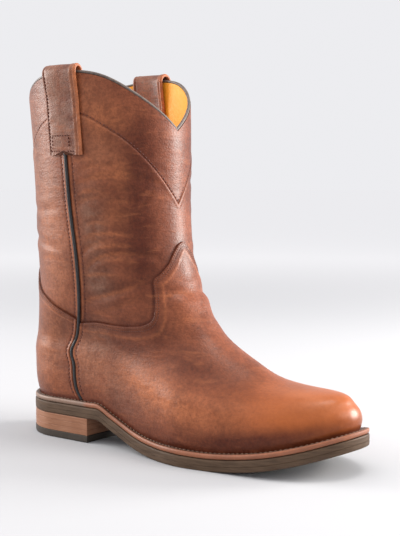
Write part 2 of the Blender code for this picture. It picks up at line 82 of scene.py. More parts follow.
TURN_STEP = 0.004

# Where the layers lie, measured out from the form in metres, and the rise at which the leathers start
FOOT_LIFT = 0.0004
SHAFT_LIFT = 0.0002
WALL_DEPTH = 0.0006
LOW_RISE = 0.0012

# Beside seams and edges, in metres: the rows of stitches along the side seams, the rounded edges, the band,
# step and slope at the yoke's seam, and how far below the overlays' edges the shaft's fine rows start
STITCH_ROW = 0.0052
EDGE_ROUND = 0.0007
SEAM_ROUND = 0.0006
YOKE_BAND = 0.0024
YOKE_STEP = 0.0005
YOKE_EASE = 0.0012
SHAFT_LAP = 0.030

# Ways between which columns stand close, beside the side seams
SEAM_BAND = (0.45, 0.54)

# The form is worked out once on a fine net of rises and turns
FORM_RISES = 421
FORM_TURNS = 960
TOP_RISE = 1.06
PLAN_SAMPLES = 361
SMOOTHINGS = 6


def table(columns, rows):
    """A table of given values as named columns."""
    values = np.array(rows, dtype=float)
    return {name: values[:, place] for place, name in enumerate(columns.split())}


SOLE_WIDTHS = table("along outer inner", [
    (0.00, 0.335, 0.335), (0.12, 0.345, 0.350), (0.26, 0.350, 0.335), (0.38, 0.370, 0.310),
    (0.50, 0.445, 0.350), (0.60, 0.500, 0.420), (0.68, 0.480, 0.465), (0.76, 0.455, 0.480),
    (0.86, 0.445, 0.480), (1.00, 0.400, 0.450),
])
TOE_SIDE = 0.045
TOE_SIDE_START = 0.45
TOE_SIDE_POWER = 1.5
UNDERSIDE = table("along arch toe", [
    (0.00, 1.00, 0.00), (0.27, 1.00, 0.00), (0.30, 1.00, 0.00), (0.35, 0.68, 0.00), (0.43, 0.24, 0.00),
    (0.52, 0.02, 0.00), (0.58, 0.00, 0.00), (0.70, 0.00, 0.00), (0.80, 0.00, 0.18), (0.90, 0.00, 0.52),
    (1.00, 0.00, 1.00),
])
SECTIONS = table("rise back foot_depth shaft_depth foot_width shaft_width tail nose power seam", [
    (0.000, 0.0180, 0.955, 0.000, 0.870, 0.00, 0.135, 0.285, 2.20, 0.232),
    (0.030, 0.0100, 0.969, 0.000, 0.905, 0.00, 0.140, 0.290, 2.20, 0.222),
    (0.070, 0.0050, 0.960, 0.000, 0.920, 0.00, 0.145, 0.320, 2.10, 0.221),
    (0.110, 0.0030, 0.923, 0.000, 0.905, 0.00, 0.150, 0.390, 2.00, 0.228),
    (0.150, 0.0030, 0.775, 0.000, 0.885, 0.00, 0.165, 0.480, 2.00, 0.256),
    (0.190, 0.0080, 0.690, 0.000, 0.850, 0.00, 0.190, 0.600, 2.00, 0.300),
    (0.240, 0.0180, 0.590, 0.000, 0.660, 0.20, 0.240, 0.680, 2.05, 0.368),
    (0.300, 0.0260, 0.370, 0.350, 0.390, 0.50, 0.330, 0.640, 2.10, 0.436),
    (0.370, 0.0275, 0.170, 0.695, 0.145, 0.76, 0.430, 0.560, 2.05, 0.500),
    (0.450, 0.0250, 0.050, 0.920, 0.000, 0.93, 0.500, 0.520, 2.00, 0.535),
    (0.600, 0.0220, 0.000, 1.000, 0.000, 0.97, 0.520, 0.500, 2.05, 0.530),
    (0.800, 0.0110, 0.000, 1.025, 0.000, 1.00, 0.520, 0.500, 2.10, 0.515),
    (1.050, -0.0120, 0.000, 1.060, 0.000, 1.03, 0.520, 0.500, 2.15, 0.520),
])
LEVEL_RISE = 0.42
SOLE_TURNS = 720
SOLE_ROUNDS = {"tail": 0.130, "nose": 0.260, "power": 2.25, "seam": 0.232}
COLLAR = table("way rise", [
    (0.00, 0.830), (0.12, 0.900), (0.30, 0.975), (0.50, 1.000), (0.68, 0.985), (0.86, 0.907), (1.00, 0.830),
])
YOKE = table("way rise", [
    (0.00, 0.655), (0.21, 0.780), (0.38, 0.858), (0.50, 0.882), (0.59, 0.873), (0.68, 0.838), (0.77, 0.793),
    (0.85, 0.737), (0.95, 0.655), (1.00, 0.612),
])
COUNTER_LINE = table("way rise", [
    (0.00, 0.430), (0.06, 0.424), (0.11, 0.404), (0.16, 0.370), (0.22, 0.340), (0.29, 0.318), (0.37, 0.292),
    (0.44, 0.272), (0.50, 0.256),
])
VAMP_LINE = table("foot way rise", [
    (0.500, 0.500, 0.247), (0.560, 0.575, 0.253), (0.620, 0.650, 0.258), (0.680, 0.715, 0.265),
    (0.730, 0.767, 0.274), (0.765, 0.798, 0.288), (0.795, 0.815, 0.312), (0.830, 0.826, 0.348),
    (0.875, 0.836, 0.390), (0.905, 0.868, 0.407), (0.930, 0.906, 0.433), (0.965, 0.945, 0.470),
    (0.985, 0.975, 0.491), (1.000, 1.000, 0.498),
])


def rows_of(columns):
    """The rows of a table, each as named values."""
    return [dict(zip(columns, values)) for values in zip(*columns.values())]


def mirrored(rows):
    """A table of places on the outer side, with their mirror images on the inner side added."""
    first = rows["turn"] if "turn" in rows else rows["turn_a"]
    again = ~np.isin(first, (0.0, 0.5))
    places = [name for name in rows if name in ("turn", "turn_a", "turn_b", "turn_c")]
    return {name: np.concatenate([values, (1 - values if name in places else values)[again]])
            for name, values in rows.items()}


# Creases, placed on the outer side: where each starts, its middle and where it ends, its depth and half width
# in millimetres, and how far the leather pales along it
CREASES = mirrored(table("turn_a rise_a turn_b rise_b turn_c rise_c depth width pale", [
    (0.272, 0.418, 0.335, 0.462, 0.440, 0.452, 0.90, 3.4, 0.9),
    (0.262, 0.452, 0.300, 0.492, 0.352, 0.500, 0.40, 3.0, 0.5),
    (0.262, 0.322, 0.325, 0.345, 0.410, 0.384, 0.70, 3.2, 0.8),
    (0.285, 0.285, 0.335, 0.310, 0.385, 0.342, 0.35, 2.8, 0.3),
    (0.270, 0.668, 0.340, 0.690, 0.455, 0.672, 0.45, 3.0, 0.8),
    (0.275, 0.706, 0.320, 0.722, 0.370, 0.720, 0.35, 2.6, 0.5),
    (0.270, 0.610, 0.300, 0.628, 0.345, 0.634, 0.40, 3.0, 0.6),
    (0.262, 0.560, 0.330, 0.575, 0.400, 0.560, 0.25, 3.4, 0.2),
    (0.372, 0.560, 0.405, 0.600, 0.440, 0.660, 0.25, 2.4, 0.5),
    (0.030, 0.520, 0.110, 0.500, 0.215, 0.470, 0.45, 4.0, 0.3),
    (0.060, 0.600, 0.130, 0.590, 0.220, 0.600, 0.30, 4.0, 0.3),
    (0.276, 0.505, 0.325, 0.524, 0.395, 0.512, 0.12, 2.4, 1.0),
    (0.290, 0.474, 0.345, 0.489, 0.405, 0.478, 0.10, 2.4, 0.9),
    (0.305, 0.438, 0.350, 0.448, 0.400, 0.440, 0.10, 2.4, 0.8),
    (0.268, 0.392, 0.300, 0.402, 0.352, 0.396, 0.10, 2.6, 0.8),
    (0.282, 0.545, 0.310, 0.556, 0.350, 0.548, 0.10, 2.4, 0.7),
    (0.300, 0.690, 0.350, 0.704, 0.420, 0.690, 0.10, 2.2, 0.9),
    (0.272, 0.640, 0.300, 0.650, 0.330, 0.646, 0.10, 2.2, 0.9),
    (0.330, 0.612, 0.380, 0.618, 0.425, 0.604, 0.10, 2.2, 0.7),
    (0.265, 0.735, 0.285, 0.742, 0.320, 0.748, 0.10, 2.2, 0.7),
    (0.150, 0.560, 0.185, 0.566, 0.228, 0.556, 0.10, 2.4, 0.3),
    (0.130, 0.440, 0.170, 0.446, 0.225, 0.430, 0.12, 2.4, 0.6),
    (0.425, 0.330, 0.455, 0.352, 0.500, 0.345, 0.60, 3.6, 0.5),
    (0.430, 0.262, 0.462, 0.290, 0.500, 0.288, 0.35, 5.0, 0.2),
]))

# Broad patches of colour, placed on the outer side, with their spreads and how much each tint takes: pale is
# a rubbed orange tan, toe the burnished toe, grey the bloom and dark the deep brown
PATCHES = mirrored(table("turn rise turn_spread rise_spread pale toe grey dark", [
    (0.500, 0.030, 0.060, 0.080, 0.0, 1.0, 0.0, 0.0),
    (0.470, 0.090, 0.055, 0.050, 0.1, 0.8, 0.0, 0.0),
    # These three rows' dark is painted shade low along the toe and the vamp's sides
    (0.450, 0.026, 0.045, 0.022, 0.0, 0.0, 0.0, 0.7),
    (0.400, 0.020, 0.040, 0.022, 0.0, 0.0, 0.0, 0.6),
    (0.320, 0.030, 0.050, 0.030, 0.0, 0.0, 0.0, 0.5),
    (0.385, 0.100, 0.035, 0.050, 0.5, 0.0, 0.0, 0.0),
    (0.345, 0.130, 0.035, 0.050, 0.8, 0.0, 0.0, 0.0),
    (0.480, 0.100, 0.012, 0.040, 0.5, 0.0, 0.0, 0.0),
    (0.270, 0.130, 0.020, 0.070, 0.4, 0.0, 0.4, 0.0),
    (0.290, 0.190, 0.030, 0.070, 0.0, 0.0, 0.6, 0.0),
    (0.205, 0.225, 0.016, 0.060, 0.0, 0.0, 0.3, 0.5),
    (0.170, 0.060, 0.040, 0.040, 0.3, 0.0, 0.0, 0.2),
    (0.300, 0.060, 0.030, 0.050, 0.0, 0.0, 0.3, 0.0),
    (0.430, 0.180, 0.030, 0.040, 0.0, 0.0, 0.0, 0.7),
    (0.340, 0.205, 0.060, 0.018, 0.0, 0.0, 0.0, 0.4),
    # This row's dark is painted shade low on the vamp's side
    (0.415, 0.040, 0.035, 0.020, 0.0, 0.0, 0.0, 0.5),
    (0.395, 0.240, 0.025, 0.020, 0.0, 0.0, 0.0, 0.4),
    # These three rows' dark is painted shade down the middle of the shaft's front quarters
    (0.398, 0.450, 0.028, 0.130, 0.0, 0.0, 0.0, 0.9),
    (0.415, 0.650, 0.035, 0.160, 0.0, 0.0, 0.0, 1.0),
    (0.420, 0.800, 0.060, 0.090, 0.0, 0.0, 0.0, 0.6),
    (0.300, 0.560, 0.030, 0.100, 0.0, 0.0, 0.9, 0.0),
    (0.300, 0.380, 0.030, 0.060, 0.0, 0.0, 0.9, 0.0),
    (0.290, 0.920, 0.045, 0.080, 0.5, 0.0, 0.3, 0.0),
    (0.330, 0.760, 0.040, 0.060, 0.4, 0.0, 0.4, 0.0),
    (0.350, 0.860, 0.050, 0.050, 0.6, 0.0, 0.0, 0.0),
    (0.370, 0.700, 0.020, 0.050, 0.5, 0.0, 0.0, 0.0),
    (0.360, 0.580, 0.030, 0.030, 0.5, 0.0, 0.0, 0.0),
    (0.180, 0.500, 0.050, 0.250, 0.6, 0.0, 0.6, 0.0),
    (0.100, 0.750, 0.060, 0.200, 0.2, 0.0, 0.6, 0.0),
    (0.150, 0.150, 0.060, 0.100, 0.5, 0.0, 0.6, 0.0),
    (0.000, 0.300, 0.060, 0.200, 0.1, 0.0, 0.7, 0.0),
]))
TINTS = ("pale", "toe", "grey", "dark")
CREASE_GIRTH = 0.39
CREASE_STEPS = 24
CREASE_REACH = 5
CREASE_FADE = 0.7
CREASE_SWELL = 0.6
CREASE_PALE = 0.7
STREAK_WIDTH = 0.0013

# Reliefs and tints beside seams and edges. Each row is a strength, the distance at which it peaks and its
# width, in metres. The yoke's distances are upwards, and a strap's are from its nearer edge or from its
# front edge.
SEAM_RELIEF = ((0.00035, 0.0027, 0.0008), (-0.00035, STITCH_ROW, 0.0007))
SEAM_DARK = ((0.35, STITCH_ROW, 0.0007), (0.5, 0.0, 0.0016))
SEAM_PALE = ((0.5, 0.0030, 0.0010),)
FOOT_SEAM_DARK = ((0.30, STITCH_ROW, 0.0007),)
FOOT_SEAM_PALE = ((0.35, 0.0030, 0.0010),)
# Painted shade low on the overlays' foot, in the gap above the welt
FOOT_WELT_SHADE = ((2.0, 0.0, 0.0027),)
EDGE_RELIEF = ((-0.00012, 0.0025, 0.0014), (0.00022, 0.0062, 0.0012))
EDGE_DARK = ((0.9, 0.0, 0.0006), (0.30, 0.0025, 0.0016))
EDGE_PALE = ((0.40, 0.0066, 0.0009), (0.20, 0.0012, 0.0006))
EDGE_SHADOW = ((1.2, 0.0002, 0.0009),)
YOKE_RELIEF = ((-0.0004, 0.0, 0.0007), (0.0002, -0.0030, 0.0022))
YOKE_DARK = ((0.35, 0.0013, 0.0009),)
# Painted highlight along the top of the panel just below the yoke's seam
YOKE_HIGHLIGHT = ((0.12, -0.0012, 0.0009),)
STRAP_RELIEF = ((-0.00035, 0.0028, 0.0006), (0.00025, 0.0012, 0.0008))
STRAP_DARK = ((0.5, 0.0028, 0.0006),)
STRAP_PALE = ((0.3, 0.0, 0.0010),)
STRAP_FRONT_RELIEF = ((0.00035, 0.0030, 0.0022), (-0.00030, 0.0065, 0.0008))
# Painted shade in the crease behind the strap's front fold
STRAP_FOLD_SHADE = ((0.7, 0.0065, 0.0008),)
STRAP_FRONT_PALE = ((0.9, 0.0, 0.0040),)
STRAP_CURL = ((0.0010, 0.0, 0.0050),)
STRAP_NOTCH = ((0.0035, 0.0, 0.0022),)


def curve(rows, along, column, at):
    """Smooth curve through a table's points: cubic pieces, each slope the mean of its neighbours'."""
    xs, ys = rows[along], rows[column]
    at = np.asarray(at, dtype=float)
    widths = np.diff(xs)
    steps = np.diff(ys) / widths
    slopes = np.empty_like(ys)
    slopes[1:-1] = (steps[:-1] * widths[1:] + steps[1:] * widths[:-1]) / (widths[1:] + widths[:-1])
    slopes[0], slopes[-1] = steps[0], steps[-1]
    i = np.clip(np.searchsorted(xs, at, side="right") - 1, 0, len(xs) - 2)
    width = widths[i]
    t = np.clip((at - xs[i]) / width, 0.0, 1.0)
    start = (1 + 2 * t) * (1 - t) ** 2 * ys[i] + t * (1 - t) ** 2 * width * slopes[i]
    end = t * t * (3 - 2 * t) * ys[i + 1] + t * t * (t - 1) * width * slopes[i + 1]
    return start + end


def ease(t):
    """Smooth step from 0 to 1."""
    t = np.clip(t, 0.0, 1.0)
    return t * t * (3 - 2 * t)


def bump(distance, width):
    """Bell curve: 1 at no distance, falling off over a width."""
    return np.exp(-(distance / width) ** 2)


def bells(distance, rows):
    """Sum of the bells in a table of strengths, places and widths."""
    return sum(strength * bump(distance - place, width) for strength, place, width in rows)


def quarter_round(distance, radius):
    """Height of a quarter circle, from 0 at an edge to 1 a radius away from it."""
    return np.sqrt(1 - (1 - np.clip(distance / radius, 0.0, 1.0)) ** 2)


def unit(vectors):
    """Vectors scaled to length 1."""
    return vectors / np.linalg.norm(vectors, axis=-1, keepdims=True)


def between(low, high, count):
    """Evenly spaced rows from one row of values to another."""
    return low + np.linspace(0.0, 1.0, count)[:, None] * (high - low)


def round_end(distance, length, power=2.0):
    """Width at a rounded end as a share of the full one, a superellipse of the given power."""
    t = np.clip(1 - distance / length, 0.0, 1.0)
    return (1 - t ** power) ** (1 / power)


def underside(x):
    """Height of the outsole's underside at x: the arch and the toe spring added."""
    along = np.clip((x + HEEL_CENTRE) / OUTSOLE_LENGTH, 0.0, 1.0)
    arch = curve(UNDERSIDE, "along", "arch", along) * SEAT_HEIGHT
    return arch + curve(UNDERSIDE, "along", "toe", along) * TOE_SPRING


def fold_way(turn):
    """Way of a turn: 0 at the back, 1 at the front, the same on both sides."""
    turn = np.mod(turn, 1.0)
    return np.where(turn > 0.5, 1 - turn, turn) * 2


def plan_halves(back, depth, foot_width, shaft_width, tail, nose, power):
    """Outer and inner half outlines of sections: half widths times the rounds at the back and front."""
    share = (1 - np.cos(np.linspace(0.0, np.pi, PLAN_SAMPLES)))[None, :] / 2
    x = back[:, None] + share * depth[:, None]
    along = np.clip(x / OUTSOLE_LENGTH, 0.0, 1.0)
    past = np.clip((along - TOE_SIDE_START) / (1 - TOE_SIDE_START), 0.0, 1.0)
    tip = TOE_SIDE * BALL_WIDTH * foot_width[:, None] * past ** TOE_SIDE_POWER
    fill = round_end(share, tail[:, None]) * round_end(1 - share, nose[:, None], power[:, None])
    halves = []
    for side, sign in (("outer", -1), ("inner", 1)):
        wide = curve(SOLE_WIDTHS, "along", side, along) * BALL_WIDTH * foot_width[:, None]
        wide = wide + shaft_width[:, None] * SHAFT_WIDTH / 2
        halves.append(tip + sign * (wide - sign * tip) * fill)
    return x, halves[0], halves[1]


def round_points(x, outer, inner, seam):
    """Points at equal shares of each half outline's length either side of its seam, once round."""
    turns = np.arange(FORM_TURNS) / FORM_TURNS
    way = fold_way(turns)
    place = np.arange(PLAN_SAMPLES)
    rows = []
    for row in range(len(x)):
        halves = []
        for y in (outer[row], inner[row]):
            run = np.concatenate([[0.0], np.cumsum(np.hypot(np.diff(x[row]), np.diff(y)))])
            at_seam = np.interp(np.arccos(1 - 2 * seam[row]) / np.pi * (PLAN_SAMPLES - 1), place, run)
            front = at_seam + (way - SEAM) / (1 - SEAM) * (run[-1] - at_seam)
            want = np.where(way < SEAM, way / SEAM * at_seam, front)
            halves.append(np.column_stack([np.interp(want, run, x[row]), np.interp(want, run, y)]))
        rows.append(np.where((turns > 0.5)[:, None], halves[1], halves[0]))
    return np.array(rows)


def make_form():
    """The form's points and normals on the fine net, and the lengths round each level.

    A section lies at each rise, lightly smoothed with its neighbours. Near the welt it follows the sole's
    rise and fall, and from LEVEL_RISE up it is level. Normals are the cross product of the steps round and
    up.
    """
    rises = np.linspace(0.0, TOP_RISE, FORM_RISES)
    row = {name: curve(SECTIONS, "rise", name, rises) for name in SECTIONS if name != "rise"}
    depth = row["foot_depth"] * OUTSOLE_LENGTH + row["shaft_depth"] * SHAFT_DEPTH
    x, outer, inner = plan_halves(row["back"] * OUTSOLE_LENGTH, depth, row["foot_width"], row["shaft_width"],
                                  row["tail"], row["nose"], row["power"])
    plan = round_points(x, outer, inner, row["seam"])
    plan[..., 0] -= HEEL_CENTRE
    for _ in range(SMOOTHINGS):
        plan[1:-1] = (plan[:-2] + 2 * plan[1:-1] + plan[2:]) / 4
    follow = ease(1 - rises / LEVEL_RISE)[:, None]
    z = WELT_TOP + (rises * UPPER_HEIGHT)[:, None] + follow * (underside(plan[..., 0]) - SEAT_HEIGHT)
    points = np.concatenate([plan, z[..., None]], axis=2)
    around = np.roll(points, -1, axis=1) - np.roll(points, 1, axis=1)
    normals = unit(np.cross(around, np.gradient(points, axis=0)))
    step = np.linalg.norm(np.roll(points, -1, axis=1) - points, axis=2)
    return points, normals, np.concatenate([np.zeros((FORM_RISES, 1)), np.cumsum(step, axis=1)], axis=1)


FORM_POINTS, FORM_NORMALS, FORM_RUN = make_form()


def read_form(net, turn, rise):
    """Value of a net at any turn and rise: cubic pieces through the four nearest columns and rows."""
    column = np.mod(turn, 1.0) * FORM_TURNS
    row = np.clip(rise / TOP_RISE, 0.0, 1.0) * (FORM_RISES - 1)
    c0 = np.floor(column).astype(int)
    r0 = np.minimum(np.floor(row).astype(int), FORM_RISES - 2)

    def weights(t):
        return (
            -0.5 * t + t ** 2 - 0.5 * t ** 3,
            1 - 2.5 * t ** 2 + 1.5 * t ** 3,
            0.5 * t + 2 * t ** 2 - 1.5 * t ** 3,
            -0.5 * t ** 2 + 0.5 * t ** 3,
        )
    total = 0.0
    column_weights, row_weights = weights(column - c0), weights(row - r0)
    for i in range(4):
        at_row = np.clip(r0 + i - 1, 0, FORM_RISES - 1)
        for j in range(4):
            weight = (row_weights[i] * column_weights[j])[:, None]
            total = total + weight * net[at_row, (c0 + j - 1) % FORM_TURNS]
    return total


def leather(turn, rise, offset=0.0):
    """Points that stand off the form along its normal, for arrays of turn and rise of one shape."""
    turn, rise, offset = np.broadcast_arrays(np.asarray(turn, float), np.asarray(rise, float),
                                             np.asarray(offset, float))
    flat_turn, flat_rise = turn.ravel(), rise.ravel()
    normal = unit(read_form(FORM_NORMALS, flat_turn, flat_rise))
    points = read_form(FORM_POINTS, flat_turn, flat_rise) + normal * offset.ravel()[:, None]
    return points.reshape(turn.shape + (3,))


def run_round(turn, rise):
    """Length round the level from the back to a turn, read between the net's four nearest points."""
    column = np.mod(turn, 1.0) * FORM_TURNS
    row = np.clip(rise / TOP_RISE, 0.0, 1.0) * (FORM_RISES - 1)
    c0, r0 = column.astype(int), np.minimum(row.astype(int), FORM_RISES - 2)
    t, s = column - c0, row - r0
    low, high = (FORM_RUN[r, c0] * (1 - t) + FORM_RUN[r, c0 + 1] * t for r in (r0, r0 + 1))
    return low * (1 - s) + high * s


def stretch(turn, rise, step):
    """Length along the level that a whole turn would take, measured over a step from a place."""
    return np.abs(run_round(turn + step, rise) - run_round(turn, rise)) / np.abs(step)


def seam_distance(turn, rise):
    """Distance along the leather to the nearer side seam."""
    here = run_round(turn, rise)
    return np.minimum(*(np.abs(here - run_round(seam, rise)) for seam in SEAM_TURNS))


def spread_flat(turn, rise):
    """Leather laid flat: length round the level from the front, and height, both in metres."""
    return run_round(turn, rise) - run_round(0.5, rise), rise * UPPER_HEIGHT


def line_distance(turn, rise, line_turn, line_rise):
    """Distance in metres, on the leather laid flat, to a line given by its turns and rises.

    Where the line crosses the back, each side's stretch is measured by itself.
    """
    px, py = (value.ravel() for value in spread_flat(turn, rise))
    best = np.full(px.shape, np.inf)
    for half in (line_turn >= 0, line_turn < 0):
        lx, ly = spread_flat(line_turn[half], line_rise[half])
        for x, y, dx, dy in zip(lx, ly, np.diff(lx), np.diff(ly)):
            t = np.clip(((px - x) * dx + (py - y) * dy) / (dx * dx + dy * dy), 0.0, 1.0)
            best = np.minimum(best, (px - x - t * dx) ** 2 + (py - y - t * dy) ** 2)
    return np.sqrt(best).reshape(np.shape(turn))


def crease_fields(turn, rise):
    """Height and paleness from the creases.

    Each crease is a bend through three points on the leather laid flat. Across it runs a bell-shaped trough
    with a lower swell on both sides and a thin pale streak, and all fade out towards its ends.
    """
    u, v = np.mod(turn, 1.0) * CREASE_GIRTH, rise * UPPER_HEIGHT
    height, pale = np.zeros(u.shape), np.zeros(u.shape)
    steps = np.linspace(0.0, 1.0, CREASE_STEPS + 1)[:, None]
    for crease in rows_of(CREASES):
        a, b, c = (np.array([crease["turn_" + end] * CREASE_GIRTH, crease["rise_" + end] * UPPER_HEIGHT])
                   for end in "abc")
        width, depth = crease["width"] / 1000, crease["depth"] / 1000
        low = np.min([a, b, c], axis=0) - CREASE_REACH * width
        high = np.max([a, b, c], axis=0) + CREASE_REACH * width
        near = (u > low[0]) & (u < high[0]) & (v > low[1]) & (v < high[1])
        places = np.column_stack([u[near], v[near]])
        path = (1 - steps) ** 2 * a + 2 * steps * (1 - steps) * (2 * b - (a + c) / 2) + steps ** 2 * c
        best, share = np.full(len(places), np.inf), np.zeros(len(places))
        for i, (start, step) in enumerate(zip(path, np.diff(path, axis=0))):
            t = np.clip((places - start) @ step / (step @ step), 0.0, 1.0)
            gap = np.linalg.norm(places - start - t[:, None] * step, axis=1)
            share = np.where(gap < best, (i + t) / CREASE_STEPS, share)
            best = np.minimum(best, gap)
        fade = np.sin(np.pi * np.clip(share, 0.0, 1.0)) ** CREASE_FADE
        trough = CREASE_SWELL * bump(best - 1.8 * width, width) - bump(best, 0.8 * width)
        height[near] += 1.8 * depth * fade * trough
        pale[near] += CREASE_PALE * crease["pale"] * fade * bump(best, np.maximum(0.3 * width, STREAK_WIDTH))
    return height, pale


def tint_values(turn, rise, dark=0.0, pale=0.0):
    """The attribute that the leather's material reads: pale, toe, grey and dark, each from 0 to 1.

    Each is the sum of the patches' bells over turn and rise. What seams, edges and creases add comes on top.
    """
    total = {"pale": pale, "toe": 0.0, "grey": 0.0, "dark": dark}
    for patch in rows_of(PATCHES):
        off = np.abs(turn - patch["turn"])
        bell = bump(np.minimum(off, 1 - off), patch["turn_spread"])
        bell = bell * bump(rise - patch["rise"], patch["rise_spread"])
        for name in TINTS:
            total[name] = total[name] + patch[name] * bell
    return np.stack([np.clip(total[name], 0.0, 1.0) for name in TINTS], axis=-1)


def add_mesh(name, points, faces, attributes=None, sharp=0.7):
    """New piece from points and faces, with its own attributes on the points."""
    mesh = bpy.data.meshes.new(name)
    mesh.from_pydata(np.asarray(points, float).reshape(-1, 3).tolist(), [], faces)
    mesh.shade_smooth()
    mesh.set_sharp_from_angle(angle=sharp)
    for key, values in (attributes or {}).items():
        layer = mesh.attributes.new(key, "FLOAT_COLOR", "POINT")
        layer.data.foreach_set("color", np.ascontiguousarray(values, dtype=np.float32).ravel())
    piece = bpy.data.objects.new(name, mesh)
    bpy.context.scene.collection.objects.link(piece)
    return piece


def grid_faces(rows, columns, wrap_rows, wrap_columns):
    """Quads of a grid, columns counter-clockwise and rows upwards, closed round either way if asked."""
    r = np.arange(rows if wrap_rows else rows - 1)[:, None]
    c = np.arange(columns if wrap_columns else columns - 1)[None, :]
    up, side = (r + 1) % rows, (c + 1) % columns
    quads = np.stack([r * columns + c, r * columns + side, up * columns + side, up * columns + c], axis=2)
    return quads.reshape(-1, 4).tolist()


def zipper(outer, inner):
    """Triangles between a long row of points and a shorter one beside it, both given by their numbers."""
    reach = np.floor(np.arange(len(outer)) * (len(inner) - 1) / (len(outer) - 1) + 0.5).astype(int)
    first = np.stack([outer[:-1], outer[1:], inner[reach[:-1]]], axis=1)
    moved = reach[1:] > reach[:-1]
    second = np.stack([outer[1:][moved], inner[reach[1:][moved]], inner[reach[:-1][moved]]], axis=1)
    return first.tolist() + second.tolist()


def column_caps(count_outer, rows, columns):
    """Faces that close a shell's first and last columns."""
    outer = np.arange(count_outer)
    inner = np.concatenate([[0], np.arange(rows - 1, count_outer - 2, -1)])
    first = [list(reversed(face)) for face in zipper(outer * columns, inner * columns)]
    last = zipper(outer * columns + columns - 1, inner * columns + columns - 1)
    return [face for face in first + last if len(set(face)) == 3]


def ring_angles(count):
    """Even angles once round."""
    return np.arange(count) / count * 2 * np.pi


def capped_grid(rows, sides):
    """Faces round a row of rings, with both ends closed."""
    first = list(range(sides))
    return grid_faces(rows, sides, False, True) + [first[::-1], [(rows - 1) * sides + k for k in first]]


def add_tube(name, path, radius, normals, sides, closed=False):
    """Round cord: at each point of a path a ring of the given radius, square to the path."""
    round_trip = np.roll(path, -1, axis=0) - np.roll(path, 1, axis=0)
    along = unit(round_trip if closed else np.gradient(path, axis=0))
    side = unit(np.cross(along, normals))
    up = np.cross(side, along)
    angle = ring_angles(sides)[None, :, None]
    points = path[:, None] + (np.cos(angle) * side[:, None] + np.sin(angle) * up[:, None]) * radius
    faces = grid_faces(len(path), sides, True, True) if closed else capped_grid(len(path), sides)
    return add_mesh(name, points, faces)


def walk(points, start, spare, pitch, reach):
    """Places at an even pitch along a path of points, the way it runs there, and their row numbers.

    The way is taken between the two points of the path that lie the steps in reach from each place.
    """
    run = np.concatenate([[0.0], np.cumsum(np.linalg.norm(np.diff(points, axis=0), axis=1))])
    at = np.arange(start, run[-1] - spare, pitch)
    here, first, last = (np.column_stack([np.interp(at + step, run, line) for line in points.T])
                         for step in (0.0, *reach))
    return here, unit(last - first), np.interp(at, run, np.arange(len(points)))


def along_line(turn, rise, offset, pitch):
    """Places, directions and normals at an even pitch along a line on the leather."""
    reach = (-pitch / 4, pitch / 4)
    here, direction, number = walk(leather(turn, rise, offset), pitch / 2, pitch / 3, pitch, reach)
    turn, rise = (np.interp(number, np.arange(len(line)), line) for line in (turn, rise))
    return here, direction, unit(read_form(FORM_NORMALS, turn, rise))


STITCH_RINGS = (
    (-0.5, 0.35, -0.9), (-0.34, 0.85, -0.1), (0.0, 1.0, 0.25), (0.34, 0.85, -0.1), (0.5, 0.35, -0.9),
)
STITCH_SIDES = 6


def add_stitches(name, lines, length, radius):
    """All the stitches of one kind as one piece, on lines of places, directions and normals.

    Each stitch is a spindle of rings of points. A ring's place along it is a share of its length, and how
    thick the ring is and how far it is lifted or sunk are shares of the thread's radius.
    """
    here, direction, normal = (np.concatenate(values)[:, None] for values in zip(*lines))
    along, thick, lift = (np.array(values) for values in zip(*STITCH_RINGS))
    angle = ring_angles(STITCH_SIDES)[:, None]
    middle = here + direction * (along * length)[:, None] + normal * (lift * radius)[:, None]
    ring = np.cross(direction, normal) * np.cos(angle) + normal * np.sin(angle)
    points = middle[:, :, None] + ring[:, None] * (thick * radius)[:, None, None]
    faces = capped_grid(len(STITCH_RINGS), STITCH_SIDES)
    firsts = np.arange(len(here)).tolist()
    count = len(STITCH_RINGS) * STITCH_SIDES
    faces = [[first * count + k for k in face] for first in firsts for face in faces]
    return add_mesh(name, points, faces, sharp=1.2)


def shifted_line(turn, rise, distance):
    """A line on the leather moved sideways by a distance, to the left of the way it runs."""
    around = np.interp(rise, np.linspace(0, TOP_RISE, FORM_RISES), FORM_RUN[:, -1])
    speed = stretch(turn - TURN_STEP, rise, 2 * TURN_STEP)
    speed = np.where(speed > 3 * around, around, speed)
    du, dv = np.gradient(turn) * speed, np.gradient(rise) * UPPER_HEIGHT
    length = np.hypot(du, dv)
    return turn - dv / length * distance / speed, rise + du / length * distance / UPPER_HEIGHT


def vamp_edge(foot=np.linspace(SEAM, 1.0, 90)):
    """The vamp's top edge from the outer seam over the tongue to the inner seam.

    The result is each column's turn at the welt, its turn at the edge and its rise there.
    """
    way, rise = (curve(VAMP_LINE, "foot", name, foot) for name in ("way", "rise"))
    turns = [np.concatenate([values / 2, 1 - values[-2::-1] / 2]) for values in (foot, way)]
    return *turns, np.concatenate([rise, rise[-2::-1]])


def counter_edge(way=np.linspace(0.0, SEAM, 60)):
    """The counter's top edge from the inner seam, at turn -0.25, round the back to the outer seam."""
    rise = curve(COUNTER_LINE, "way", "rise", way)
    turn = np.concatenate([-way[::-1], way[1:]]) / 2
    return turn, turn, np.concatenate([rise[::-1], rise[1:]])


def yoke_relief(turn, rise):
    """Height at the yoke's seam, a step down above, a valley and a swell below, and the distance above it."""
    above = (rise - curve(YOKE, "way", "rise", fold_way(turn))) * UPPER_HEIGHT
    return bells(above, YOKE_RELIEF) - YOKE_STEP * ease(above / YOKE_EASE + 0.5), above


def fine_ways(back, near, front):
    """Ways of one side's columns, close together beside the seam: counts behind, beside and in front."""
    return np.concatenate([
        np.linspace(0.0, SEAM_BAND[0], back, endpoint=False),
        np.linspace(SEAM_BAND[0], SEAM, near, endpoint=False),
        np.linspace(SEAM, SEAM_BAND[1], near, endpoint=False),
        np.linspace(SEAM_BAND[1], 1.0, front),
    ])


def both_sides(ways):
    """Turns of one side's columns continued round the other side, back column first."""
    return np.concatenate([ways / 2, 1 - ways[-2:0:-1] / 2])


